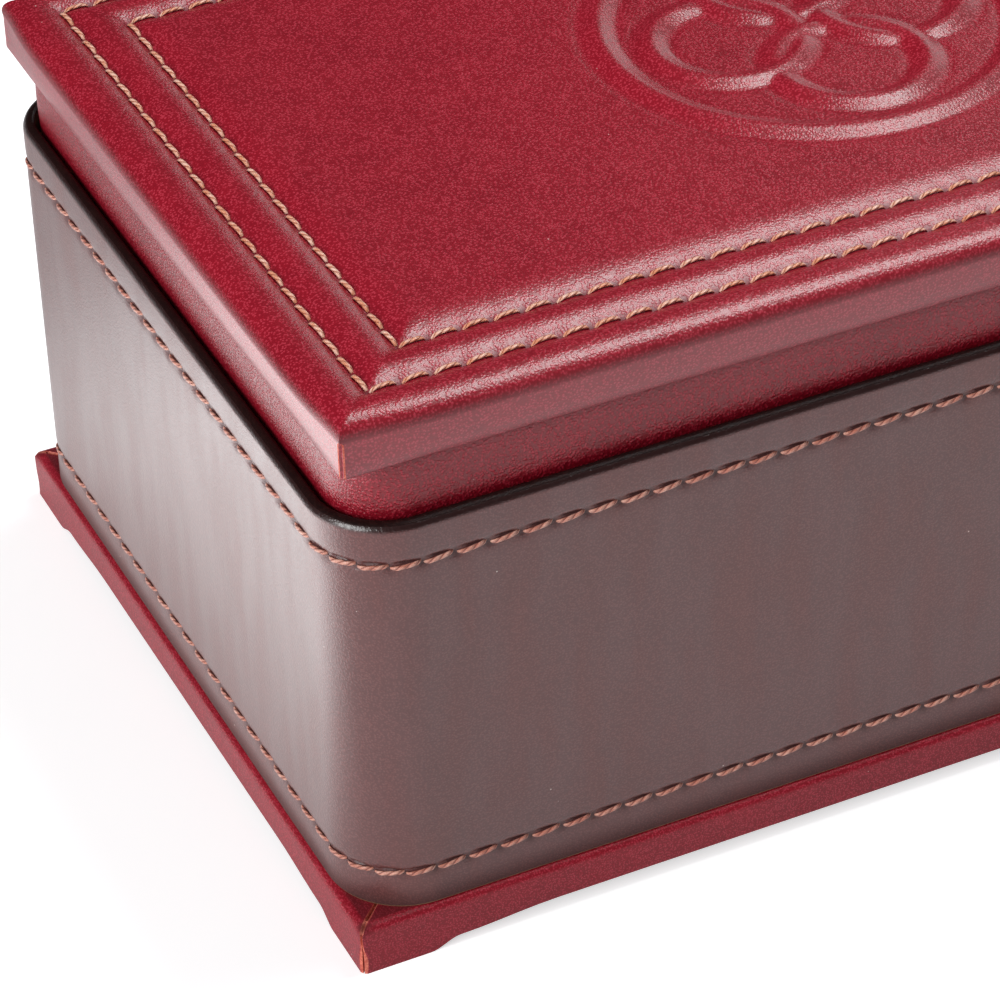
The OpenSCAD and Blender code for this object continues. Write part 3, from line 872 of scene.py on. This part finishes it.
# %% Height of the ornament
RIDGE_H = 0.85 * MM
RIDGE_HALF = 2.4 * MM
DIP, DIP_REACH = 0.6, 2.6 * MM
GROOVE, GROOVE_REACH = 0.16, 0.5 * MM
RING_R = 26.5 * MM
LOOP_R = 9.5 * MM
LOOP_OFF = 11.5 * MM


def ridge(points, centre, radius, dips):
    """Height of one ring's ridge, lower near the places where it passes under another, and of its groove."""
    off = np.abs(np.linalg.norm(points[:, :2] - centre, axis=1) - radius)
    shape = 0.5 + 0.5 * np.cos(math.pi * np.clip(off / RIDGE_HALF, 0, 1))
    for dip in dips:
        shape *= 1 - DIP * fade(np.linalg.norm(points[:, :2] - dip, axis=1), DIP_REACH)
    return RIDGE_H * shape, RIDGE_H * GROOVE * fade(off - RIDGE_HALF * 1.05, GROOVE_REACH)


def at_angle(distance, turn):
    return distance * math.cos(turn), distance * math.sin(turn)


def ornament_height(points):
    """The four linked rings and the ring round them."""
    half_chord = math.sqrt(LOOP_R**2 - LOOP_OFF**2 / 2)
    near = LOOP_OFF / math.sqrt(2) - half_chord
    far = LOOP_OFF / math.sqrt(2) + half_chord
    height, groove = ridge(points, (0, 0), RING_R, [])
    for i in range(4):
        turn = i * math.pi / 2
        dips = [at_angle(near, turn + math.pi / 4), at_angle(far, turn - math.pi / 4)]
        ring_height, ring_groove = ridge(points, at_angle(LOOP_OFF, turn), LOOP_R, dips)
        height = np.maximum(height, ring_height)
        groove = np.maximum(groove, ring_groove)
    return height - groove * (height < 0.3 * RIDGE_H)


# %% Shape the lid's leather
GRID_STEP = 0.56 * MM
SEAM_HALF = 0.6 * MM
TURN_IN = 4.8 * MM
TURN_IN_T = 0.06 * MM
PAD_ROOM = 2.38 * MM


def shrink_border(piece, half, height):
    """Extrudes the selected border to a rectangle of this half size at this height."""
    extrude()
    mesh = bmesh.from_edit_mesh(piece.data)
    border = [v for v in mesh.verts if v.select]
    now = [max(abs(v.co[axis]) for v in border) for axis in (0, 1)]
    for vertex in border:
        vertex.co = (vertex.co.x * half[0] / now[0], vertex.co.y * half[1] / now[1], height)
    bmesh.update_edit_mesh(piece.data)


def lid_half(inset):
    return LID_HALF[0] - inset, LID_HALF[1] - inset


clear()
cells = [round(2 * (half - LID_EDGE_R) / GRID_STEP) for half in LID_HALF]
bpy.ops.mesh.primitive_grid_add(
    x_subdivisions=cells[0], y_subdivisions=cells[1], size=2, location=(0, 0, lid_high.z)
)
lid_cover = bpy.context.object
bpy.ops.object.transform_apply(location=True, rotation=False, scale=False)
edit(lid_cover)
select_all()
bpy.ops.transform.resize(value=(*lid_half(LID_EDGE_R), 1))
pick(lid_cover, "EDGE", lambda edge: edge.is_boundary)
borders = [(inset * MM, lid_high.z) for inset in (1.5, 1.05, 0.7, 0.42, 0.22, 0.08, 0)]
borders += [(0, SIDE_TOP + (lid_low.z - SIDE_TOP) * share) for share in (0.1, 0.35, 0.65, 0.95)]
borders += [(0.15 * MM, lid_low.z - TURN_IN_T), (TURN_IN, lid_low.z - TURN_IN_T)]
borders += [(TURN_IN, lid_low.z + TURN_IN_T), (LID_LEATHER, lid_low.z + TURN_IN_T)]
borders += [(LID_LEATHER, lid_high.z - PAD_ROOM)]
for inset, height in borders:
    shrink_border(lid_cover, lid_half(inset), height)
bpy.ops.mesh.edge_face_add()
close_up()

# %% [markdown]
# The sheet was cut out at the corners and its edges butt there, so each upright corner shows two thin raw
# edges with a dark line between them. The corner edge is bevelled into four strips, the line between the
# middle two is pushed in, and the outer two get the raw edge's finish.

# %% Open the corner seams
TINY = 0.01 * MM
SEAM_DEPTH = 0.14 * MM


def at_corner(point, reach):
    return all(abs(point[axis]) > LID_HALF[axis] - reach for axis in (0, 1))


def seam_share(point):
    """Where a point lies across an upright corner seam: 0 in its middle and 1 at its border."""
    return abs((LID_HALF[0] - abs(point[0])) - (LID_HALF[1] - abs(point[1]))) / SEAM_HALF


def upright(edge):
    return all(at_corner(v.co, TINY) and v.co.z < SIDE_TOP + TINY for v in edge.verts)


edit(lid_cover, "EDGE")
print("corner edges opened:", pick(lid_cover, "EDGE", upright))
bpy.ops.mesh.bevel(offset=SEAM_HALF, segments=4, affect="EDGES")
bpy.ops.object.mode_set(mode="OBJECT")
points = points_of(lid_cover)
for point in points:
    if point[2] < SIDE_TOP - 0.1 * MM and at_corner(point, 0.3 * MM) and seam_share(point) < 0.2:
        point[:2] -= np.sign(point[:2]) * SEAM_DEPTH
set_points(lid_cover, points)
paint(lid_cover, RED_LEATHER, ORANGE_EDGE)
for face in lid_cover.data.polygons:
    middle = face.center
    if middle.z < SIDE_TOP and at_corner(middle, SEAM_HALF + 2 * TINY) and face.area < 20 * MM**2:
        face.material_index = int(0.45 < seam_share(middle) < 1.0)

# %% Press in the rows and raise the ornament
PUCKER, PUCKER_REACH = 0.16 * MM, 1.5 * MM
PIT, PIT_REACH = 0.2 * MM, 0.5 * MM


def from_edges(points):
    """Each point's distance from the lid's edges, one column for each axis."""
    return np.array(LID_HALF) - np.abs(points[:, :2])


points = points_of(lid_cover)
top = points[:, 2] > lid_high.z - TINY
surface = points[top]
depth = from_edges(surface).min(axis=1)
stitched = OUTER_STITCHES + INNER_STITCHES
height = pillow_height(depth) + ornament_height(surface)
for deep, reach in ((PUCKER, PUCKER_REACH), (PIT, PIT_REACH)):
    height -= deep * near_hole(surface, stitched, reach)
points[top, 2] += height

# Painted shade: under the turned-in edge, along the stitch valleys, in the stitch holes and in a dark line
# along the lid's edge.
creased = 0.5 * (points[:, 2] < lid_low.z + 0.1 * MM)
row_gap = np.minimum(np.abs(depth - OUTER_ROW), np.abs(depth - INNER_ROW))
creased[top] += 0.12 * fade(row_gap, 0.6 * MM) + 0.6 * near_hole(surface, stitched, 0.45 * MM)
creased[top] += 0.5 * fade(depth, 0.3 * MM)
mark(lid_cover, "creased", creased)
depths = from_edges(points)
for axis in (0, 1):
    depth = depths[:, axis]
    outer = (depth < ROLL_START) & (top | (depth < LID_LEATHER - 0.1 * MM))
    bulge = bulge_out(depth, points[:, 2], depths[:, 1 - axis])
    points[:, axis] += np.sign(points[:, axis]) * outer * bulge
set_points(lid_cover, points)
complete(lid_cover, "lid_cover", "lid", "red_leather", "lid_leather", "lid_relief", "lid_foam")

# %% [markdown]
# ## The collar
# A ring of the same red leather wraps four rails under the lid and drops behind the wall's rim. It is a
# profile carried round the outline: down the outside with a slight swell, round the lower edge, in under
# the rails and back up on the inside, where nobody sees it.

# %% Collar
COLLAR_EDGE_R = 1.5 * MM
COLLAR_FOOT = 5.2 * MM

low, top_z = collar_low.z, collar_high.z
swell = [(0, 0), (0.01, 0.25), (0.03, 0.5), (0.06, 0.9), (0.12, 1.8), (0.2, 4), (0.15, 6.5)]
profile = [(outward * MM, top_z - drop * MM) for outward, drop in swell] + [(0, low + 1.8 * MM)]
profile += arc((-COLLAR_EDGE_R, low + COLLAR_EDGE_R), COLLAR_EDGE_R, 0, -90, 6)
profile += [(-COLLAR_FOOT, low), (-COLLAR_FOOT, low + COLLAR_T), (-COLLAR_T, low + COLLAR_T)]
profile += [(-COLLAR_T, top_z), (0, top_z)]
collar = sweep(COLLAR_HALF, COLLAR_R, profile, spans=(40, 24), steps=16)
heights = points_of(collar)[:, 2]
# Painted shade: just under the lid plate, and deepening down into the gap behind the wall's rim.
shade_in_gap = np.clip((low + 4 * MM - heights) / (4 * MM), 0, 1) ** 2
mark(collar, "creased", 0.75 * fade(top_z - heights, 0.7 * MM) + 0.7 * shade_in_gap)
paint(collar, RED_COLLAR)
complete(collar, "collar_cover", "lid", "red_leather", "collar_leather")

# %% [markdown]
# ## The brown wall
# One strip of brown leather runs round the wall and meets itself at the back. Its top edge was cut, rounded
# and burnished into a smooth dark rim, which is dyed darker still as painted shade; its lower edge stays
# raw.
# The same carried profile makes it, with closer loops near the two rows so that the stitches can pull the
# leather in.

# %% Wall leather
RIM_IN, RIM_OUT = 0.25 * MM, 1.25 * MM
ROW_LOOPS = (-2.1, -1.5, -1, -0.6, -0.3, 0, 0.25, 0.45, 0.65, 0.9, 1.3, 2)


def wall_heights():
    """Heights of the loops on the wall's outer face, close together beside each row."""
    low, high = band_low.z + 0.3 * MM, band_high.z - RIM_OUT
    heights = {low, high}
    for row in (LOWER_ROW_Z, UPPER_ROW_Z):
        heights |= {row + step * MM for step in ROW_LOOPS}
    between = (UPPER_ROW_Z - LOWER_ROW_Z) / 12
    heights |= {LOWER_ROW_Z + between * i for i in range(1, 12)}
    return sorted(z for z in heights if low <= z <= high)


profile = [(-0.2 * MM, band_low.z)] + [(0, z) for z in wall_heights()]
profile += arc((-RIM_OUT, band_high.z - RIM_OUT), RIM_OUT, 0, 90, 9)[1:]
profile += arc((RIM_IN - BAND_T, band_high.z - RIM_IN - 0.08 * MM), RIM_IN, 90, 180, 5)
profile += [(-BAND_T, band_low.z), (-0.2 * MM, band_low.z)]
spans = [6 * round(2 * (half - BAND_R) / BAND_PITCH) for half in BAND_HALF]
wall = sweep(BAND_HALF, BAND_R, profile, spans, steps=24)

# %% [markdown]
# The hinge knuckles need room, so two notches are cut into the rim at the back with a Boolean modifier,
# as a maker would cut them with a knife. The stitches then pull the leather in: each row lies in a faint
# crease that is deepest at the holes.

# %% Notch the rim for the hinges and pull in the rows
NOTCH_HALF = 8.3 * MM
NOTCH_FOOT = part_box("hinge_box_leaf_left")[1].z - 2.8 * MM
ROW_PULL, ROW_REACH = 0.14 * MM, 0.9 * MM
HOLE_PULL, HOLE_REACH = 0.3 * MM, 0.65 * MM
JOIN_REACH = 0.35 * MM
RAW_TOP = band_low.z + 0.28 * MM
RIM_FOOT = band_high.z - 0.33 * MM


def cut(piece, low, high):
    """Cuts a block out of a piece."""
    tool = block(low, high)
    modify(piece, "BOOLEAN", operation="DIFFERENCE", solver="EXACT", object=tool)
    bpy.data.objects.remove(tool)


for x in (-HINGE_X, HINGE_X):
    low = (x - NOTCH_HALF, BAND_HALF[1] - 3 * MM, NOTCH_FOOT)
    high = (x + NOTCH_HALF, BAND_HALF[1] + 2 * MM, band_high.z + 2 * MM)
    cut(wall, low, high)

points = points_of(wall)
cores = np.array([nearest_core(x, y, BAND_HALF, BAND_R) for x, y in points[:, :2]])
away = points[:, :2] - cores
length = np.maximum(np.hypot(away[:, 0], away[:, 1]), 1e-9)
outside = length > BAND_R - 0.05 * MM
row_gap = np.minimum(np.abs(points[:, 2] - UPPER_ROW_Z), np.abs(points[:, 2] - LOWER_ROW_Z))
holes = near_hole(points, UPPER_STITCHES + LOWER_STITCHES, HOLE_REACH)
slots = near_slot(points, UPPER_STITCHES + LOWER_STITCHES)
join = fade(points[:, 0], JOIN_REACH) * (points[:, 1] > 0)
pull = ROW_PULL * fade(row_gap, ROW_REACH) + HOLE_PULL * (holes + slots + join)
points[:, :2] -= away / length[:, None] * (outside * pull)[:, None]
set_points(wall, points)
up = points[:, 2] - band_low.z
# Painted shade in the stitch holes, in the slits above the stitches and along the wall's foot, and a dark
# line down the seam at the back.
mark(wall, "creased", outside * (0.6 * holes + 0.65 * slots + 0.5 * join + 0.8 * fade(up, 0.5 * MM)))
mark(wall, "dull", fade(up, 3.5 * MM))

# The faces above the rim's foot get the near-black rim: a burnished edge with painted shade.
paint(wall, BROWN_LEATHER, TAN_EDGE, BURNISHED_SHADED)
for face in wall.data.polygons:
    face.material_index = 1 if face.center.z < RAW_TOP else 2 if face.center.z > RIM_FOOT else 0
complete(wall, "wall_cover", "box", "brown_leather", "band_leather")

# %% [markdown]
# ## The base
# Four strips of red leather wrap the base board's edges and meet in mitres at the corners. Each strip
# reaches lower at its ends, over the feet, in a soft step. A strip starts as a thin upright block; a flange
# is extruded inwards from its top, the outer edge is bevelled, and cuts across give the step its loops.
# The mitre's raw edges show as a fine line on top and open a little, like a lens, on the upright corner.

# %% Base strips
FOOT_RISE = 2.0 * MM
STEP_START = 9.0 * MM
STEP_END = 13.0 * MM
STEP_FADE = 26.0 * MM
STRIP_T = 1.3 * MM
STRIP_DEPTH = 6.2 * MM
BASE_TOP = strip_high.z
FLANGE_Z = BASE_TOP - 1 * MM
BASE_EDGE_R = 1.5 * MM
LENS_Z = 1.8 * MM
RAW_WIDTH, RAW_LEAST, RAW_SPREAD = 0.3 * MM, 0.2 * MM, 0.62 * MM


def lens(z):
    """1 where the corner seam is widest, closing quickly above and a little below."""
    return fade(z - LENS_Z, np.where(z > LENS_Z, LENS_Z, 1.8 * LENS_Z))


def lens_gap(z):
    """Half the width of the open corner seam at this height."""
    return 0.03 * MM + 0.12 * MM * lens(z)


def soft_step(values, start, end):
    share = np.clip((values - start) / (end - start), 0, 1)
    return share * share * (3 - 2 * share)


def slice_at(place, normal):
    """Cuts a loop through the whole piece in edit mode without removing anything."""
    select_all()
    bpy.ops.mesh.bisect(plane_co=place, plane_no=normal)


def strip_block(run, depth):
    """The straight strip, with its flange, its round edge and the loops that its bends need."""
    strip = block((-run, -depth, FOOT_RISE), (run, STRIP_T - depth, BASE_TOP))
    edit(strip)
    slice_at((0, 0, FLANGE_Z), (0, 0, 1))
    pick(strip, "FACE", lambda f: f.normal.y > 0.9 and f.calc_center_median().z > FLANGE_Z)
    extrude((0, STRIP_DEPTH - STRIP_T, 0))
    pick(strip, "EDGE", lambda e: all(abs(v.co.y + depth) + abs(v.co.z - BASE_TOP) < CLOSE for v in e.verts))
    bpy.ops.mesh.bevel(offset=BASE_EDGE_R, segments=6, affect="EDGES")
    for share in range(1, 9):
        slice_at((0, 0, FOOT_RISE + (FLANGE_Z - FOOT_RISE) * share / 9), (0, 0, 1))
    loops = [0.8 * MM, 1.6 * MM, 3 * MM]
    loops += [STEP_START + (STEP_END - STEP_START) * i / 8 for i in range(9)]
    loops += [STEP_END + (STEP_FADE - STEP_END) * i / 5 for i in range(1, 6)]
    for place in loops:
        for side in (-1, 1):
            slice_at((side * (run - place), 0, 0), (1, 0, 0))
    bpy.ops.object.mode_set(mode="OBJECT")
    return strip


def lower_and_mitre(strip, run, depth):
    """Lowers the strip's ends over the feet and slants them for the mitre."""
    points = points_of(strip)
    from_end = run - np.abs(points[:, 0])
    step = 0.65 * soft_step(from_end, STEP_START, STEP_END) + 0.35 * soft_step(from_end, STEP_END, STEP_FADE)
    upper = np.clip((points[:, 2] - FOOT_RISE) / (FLANGE_Z - FOOT_RISE), 0, 1)
    points[:, 2] -= FOOT_RISE * (1 - step) * (1 - upper)
    mitre = points[:, 1] + depth + lens_gap(points[:, 2])
    points[:, 0] -= np.sign(points[:, 0]) * mitre * np.clip(1 - from_end / STEP_START, 0, 1)
    set_points(strip, points)


def open_corners(strip, run, depth):
    """Bares the leather's raw edge along the mitres, widest in the middle of the upright corners."""
    edit(strip, "EDGE")
    pick(strip, "EDGE", is_raw_corner)
    bpy.ops.mesh.bevel(offset=RAW_WIDTH, segments=1, affect="EDGES")
    close_up()
    points = points_of(strip)
    side = np.sign(points[:, 0])
    on_face = (np.abs(points[:, 1] + depth) < CLOSE) & (run - np.abs(points[:, 0]) < 0.7 * MM)
    points[on_face, 0] = (side * (run - RAW_LEAST - RAW_SPREAD * lens(points[:, 2])))[on_face]
    set_points(strip, points)


def base_strip(name, run, depth, turns, node):
    """The strip along the front, or another side when it is turned."""
    strip = strip_block(run, depth)
    lower_and_mitre(strip, run, depth)
    open_corners(strip, run, depth)
    points = points_of(strip)
    from_end = run - np.abs(points[:, 0])
    inwards = points[:, 1] + depth
    to_ridge_end = np.stack([from_end - 0.5 * MM, inwards - 0.5 * MM, points[:, 2] - BASE_TOP])
    # Painted shade in the corner where the ridge ends at the mitre.
    pinch_shade = 0.95 * fade(np.linalg.norm(to_ridge_end, axis=0), 1.1 * MM)
    at_mitre = np.abs(from_end - inwards) < 0.6 * MM
    # Painted shade on the top where the wall stands on it.
    shade_under_wall = (points[:, 2] > BASE_TOP - 0.01 * MM) * soft_step(inwards, 0.2 * MM, 0.9 * MM)
    mark(strip, "creased", pinch_shade + 0.6 * shade_under_wall * ~at_mitre)
    paint(strip, RED_BASE, ORANGE_EDGE)
    for face in strip.data.polygons:
        slanted = abs(face.normal.x) > 0.05 and face.normal.z > -0.3
        face.material_index = int(slanted and run - abs(face.center.x) < STRIP_DEPTH + 0.5 * MM)
    strip.matrix_world = Matrix.Rotation(turns * math.pi / 2, 4, "Z")
    complete(strip, name, "box", "red_leather", node, angle=50)


def is_raw_corner(edge):
    """An edge between a strip's mitred end and its outer face or top."""
    faces = edge.link_faces
    at_end = [abs(f.normal.x) > 0.5 and abs(f.normal.y) > 0.5 for f in faces]
    outer = [abs(f.normal.x) < 0.3 and (f.normal.y < -0.05 or f.normal.z > 0.9) for f in faces]
    return len(faces) == 2 and any(at_end) and any(outer)


for side, turns in (("front", 0), ("back", 2), ("right", 1), ("left", 3)):
    run, depth = BASE_HALF if turns % 2 == 0 else BASE_HALF[::-1]
    base_strip(f"base_edge_{side}", run, depth, turns, f"base_strip_{side}")

# %% [markdown]
# ## The feet
# Under each corner an L-shaped pad of stacked leather stands behind the strips. It starts as a block for
# one arm, and the other arm is extruded from its side; the ends slope, and all edges are softened.

# %% Feet
FOOT_LONG = 12 * MM
FOOT_WIDE = 6 * MM
FOOT_SLOPE = 3 * MM


def foot(name, side_x, side_y, node):
    """A pad under the front left corner, mirrored to the corner on these sides."""
    left, front = -BASE_HALF[0], -BASE_HALF[1]
    inset = STRIP_T + 0.02 * MM
    inner_x = left + FOOT_WIDE
    pad = block((left + inset, front + inset, 0), (left + FOOT_LONG, front + FOOT_WIDE, FOOT_RISE))
    edit(pad)
    slice_at((inner_x, 0, 0), (1, 0, 0))
    pick(pad, "FACE", lambda f: f.normal.y > 0.9 and f.calc_center_median().x < inner_x)
    extrude((0, FOOT_LONG - FOOT_WIDE, 0))
    pick(pad, "VERT", lambda v: v.co.z < 0.1 * MM and v.co.x > left + FOOT_LONG - 0.1 * MM)
    bpy.ops.transform.translate(value=(-FOOT_SLOPE, 0, 0))
    pick(pad, "VERT", lambda v: v.co.z < 0.1 * MM and v.co.y > front + FOOT_LONG - 0.1 * MM)
    bpy.ops.transform.translate(value=(0, -FOOT_SLOPE, 0))
    select_all()
    bpy.ops.transform.resize(value=(-side_x, -side_y, 1), center_override=(0, 0, 0))
    close_up()
    soften(pad, 0.3 * MM)
    paint(pad, RED_BASE)
    complete(pad, name, "box", "red_leather", node)


for side_y, end in ((-1, "front"), (1, "back")):
    for side_x, hand in ((-1, "left"), (1, "right")):
        foot(f"foot_pad_{end}_{hand}", side_x, side_y, f"foot_{end}_{hand}")

# %% [markdown]
# ## Linings
# The inside is lined with suede glued over card: four panels on the walls and a strip inside the collar.
# A card panel is flat, but suede makes its edges round and its middle a touch fuller. Each panel is a
# block at its CAD node's place with softened edges; under the base lies a sheet of felt made the same way.

# %% Panels
def covered_card(name, node, slot, material, edge):
    card = block(*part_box(node))
    soften(card, edge)
    paint(card, material)
    complete(card, name, "box", slot, node)


for side in ("front", "back", "left", "right"):
    covered_card(f"lining_card_{side}", f"lining_{side}", "suede", SUEDE, 0.45 * MM)
covered_card("felt_sheet", "base_felt", "felt", FELT, 0.3 * MM)

LINING_T = 0.8 * MM
LINING_R = 0.3 * MM

low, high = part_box("collar_lining")
inner_half = (high.x - LINING_T, high.y - LINING_T)
profile = [(0, high.z), (0, low.z + LINING_R), (0.1 * MM, low.z + 0.08 * MM), (LINING_R, low.z)]
profile += [(LINING_T, low.z), (LINING_T, high.z), (0, high.z)]
lining_strip = sweep(inner_half, LINING_R, profile, spans=(2, 2), steps=3)
paint(lining_strip, SUEDE)
complete(lining_strip, "collar_lining_strip", "lid", "suede", "collar_lining")

# %% [markdown]
# ## Padded pieces
# The floor and the inside of the lid are soft: suede drawn over thin wadding. The way to make a pad is to
# blow it up like a balloon with Blender's cloth: an even skin of small faces, a little pressure, a few
# frames, and the result applied. Cloth works best at the size of a cushion, so the pad is made four times
# as large and brought back afterwards. Where it would swell too far its points are held back, and last its
# sides are drawn out to its outline.

# %% Blow up the pads
BLOW_UP = 4.0
SKIN_FACE = 4.8 * MM
LAST_FRAME = 20
PRESSURE = 4.0
ROUNDING = 0.3


def blow_up(pad):
    """Lets cloth with a little pressure in it swell the pad."""
    take(pad)
    cloth = pad.modifiers.new("wadding", "CLOTH")
    cloth.settings.use_pressure = True
    cloth.settings.uniform_pressure_force = PRESSURE
    cloth.settings.effector_weights.gravity = 0
    cloth.point_cache.frame_start = 1
    cloth.point_cache.frame_end = LAST_FRAME
    for step in range(1, LAST_FRAME + 1):
        bpy.context.scene.frame_set(step)
    bpy.ops.object.modifier_apply(modifier=cloth.name)
    bpy.context.scene.frame_set(1)


def fill_outline(pad, low, high):
    """Draws the pad's sides out to these corners: the even skin stops short of them by up to a face."""
    low, high = np.array(low)[:2], np.array(high)[:2]
    points = points_of(pad)
    least, most = points[:, :2].min(axis=0), points[:, :2].max(axis=0)
    points[:, :2] = low + (points[:, :2] - least) * (high - low) / (most - least)
    set_points(pad, points)


def soft_pad(name, body, node, thin, room):
    """A pad that fills its CAD node's box; it starts thinner all round and swells by this room at most."""
    low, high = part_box(node)
    size = high - low
    corner = Vector([side - 2 * thin for side in size]) * BLOW_UP / 2
    pad = block(-corner, corner)
    soften(pad, size.z * BLOW_UP * ROUNDING)
    modify(pad, "REMESH", mode="VOXEL", voxel_size=SKIN_FACE)
    before = points_of(pad)
    blow_up(pad)
    moved = points_of(pad) - before
    reach = np.linalg.norm(moved, axis=1, keepdims=True)
    print(name, "swelled at most", round(float(reach.max()) / BLOW_UP / MM, 2), "mm")
    points = (before + moved * np.minimum(1, room * BLOW_UP / np.maximum(reach, 1e-9))) / BLOW_UP
    points[:, 2] = np.clip(points[:, 2], -size.z / 2, size.z / 2)
    set_points(pad, points + np.array((low + high) / 2))
    modify(pad, "SUBSURF", levels=1, render_levels=1)
    fill_outline(pad, low, high)
    paint(pad, SUEDE)
    complete(pad, name, body, "suede", node, angle=60)


soft_pad("floor_cushion", "box", "floor_pad", thin=0.5 * MM, room=0.9 * MM)
soft_pad("lid_cushion", "lid", "lid_lining_panel", thin=0.4 * MM, room=0.7 * MM)

# %% [markdown]
# ## Finishes of the pieces that stay
# Boards, rails and walls are plain wood and the hinges are brass. Their CAD shapes are exact, so they
# stay as they are and only get a better material on the slots they have.

# %% Dress the CAD pieces
BRASS_NODES = [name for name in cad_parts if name.startswith("hinge")]
WOOD_NODES = [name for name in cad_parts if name.startswith(("wall", "rail")) or name.endswith("board")]
for names, material in ((BRASS_NODES, BRASS), (WOOD_NODES, WOOD)):
    for name in names:
        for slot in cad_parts[name].material_slots:
            slot.material = material
dressed = BRASS_NODES + WOOD_NODES
bare = [name for name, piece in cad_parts.items() if not piece.hide_render and name not in dressed]
print("pieces without a finish:", bare)

# %% [markdown]
# ## Studio
# The box stands on white paper. A large soft lamp hangs above it, a little towards the right, and a second
# one stands to its left, so the top and the left side are bright and the front is calmer. The paper throws
# a pale reflection into the upright faces: it glows in reflections only, brightest in a strip just left of
# the box, a painted pool of light. A dim card far behind on the right draws a soft line along the
# left rows. The camera sees a white studio; in reflections it is dark above the paper, which gives the
# leather its deep colour.

# %% Floor
PAPER_GLOW = 3.0

clear()
bpy.ops.mesh.primitive_plane_add(size=8)
paper = bpy.context.object
paper.name = "paper"
material, finish, shader, where = new_finish("white_paper")
across, away, _ = finish.axes(where)
# Painted light: in reflections the paper glows, most strongly in a strip just left of the box, and not far
# behind it.
painted_glow_left = away.between(-0.07, 0.0) * (1 - across.between(-0.15, -0.08))
forwards = 1 - away.between(0.05, 0.12)
far = finish.node("VectorMath", {"operation": "LENGTH"}, {0: where}, out="Value").between(0.3, 1.3)
mirrored = finish.rays("Glossy") + finish.rays("Transmission")
seen = finish.rays("Camera") * (0.59 + 0.38 * far) + mirrored * (0.26 + 2.4 * painted_glow_left) * forwards
fibres = finish.noise(where, 30 * MM, detail=3)
finish.feed(shader, {
    "Base Color": finish.mix(fibres, srgb(216, 216, 218), srgb(222, 222, 223)),
    "Roughness": 0.9,
    "Specular IOR Level": 0.0,
    "Emission Color": finish.mix(seen / PAPER_GLOW, (0, 0, 0), (1, 1, 1)),
    "Emission Strength": PAPER_GLOW,
})
paint(paper, material)

# %% Lamps and background
LAMP_AIM = Vector((0.0, 0.0, 0.05))
STUDIO_MIRRORED = (0.04, 0.04, 0.04)
STUDIO_LIGHT = (0.22, 0.22, 0.225)
STUDIO_SEEN = (1.0, 1.0, 1.0)


def soft_lamp(name, place, size, glow):
    """A lamp that faces the box; glow is how bright its face looks, where 1 is white."""
    bpy.ops.object.light_add(type="AREA", location=place)
    lamp = bpy.context.object
    lamp.name = name
    lamp.data.shape = "RECTANGLE"
    lamp.data.size, lamp.data.size_y = size
    lamp.data.energy = glow * math.pi * size[0] * size[1]
    lamp.rotation_euler = (LAMP_AIM - Vector(place)).to_track_quat("-Z", "Y").to_euler()


soft_lamp("overhead_lamp", place=(0.3, 0.03, 0.84), size=(0.36, 0.36), glow=12.0)
soft_lamp("left_lamp", place=(-0.95, -0.35, 0.45), size=(0.6, 0.6), glow=8.0)
soft_lamp("right_card", place=(0.9, 0.65, 0.36), size=(0.9, 0.4), glow=1.5)

world = bpy.data.worlds.new("studio")
bpy.context.scene.world = world
world.use_nodes = True
sky = Finish(world.node_tree)
studio = sky.mix(sky.rays("Diffuse"), STUDIO_MIRRORED, STUDIO_LIGHT)
studio = sky.mix(sky.rays("Camera") + sky.rays("Transmission"), studio, STUDIO_SEEN)
sky.feed(world.node_tree.nodes["Background"], {"Color": studio, "Strength": 1.0})
bpy.context.scene.view_settings.view_transform = "Standard"
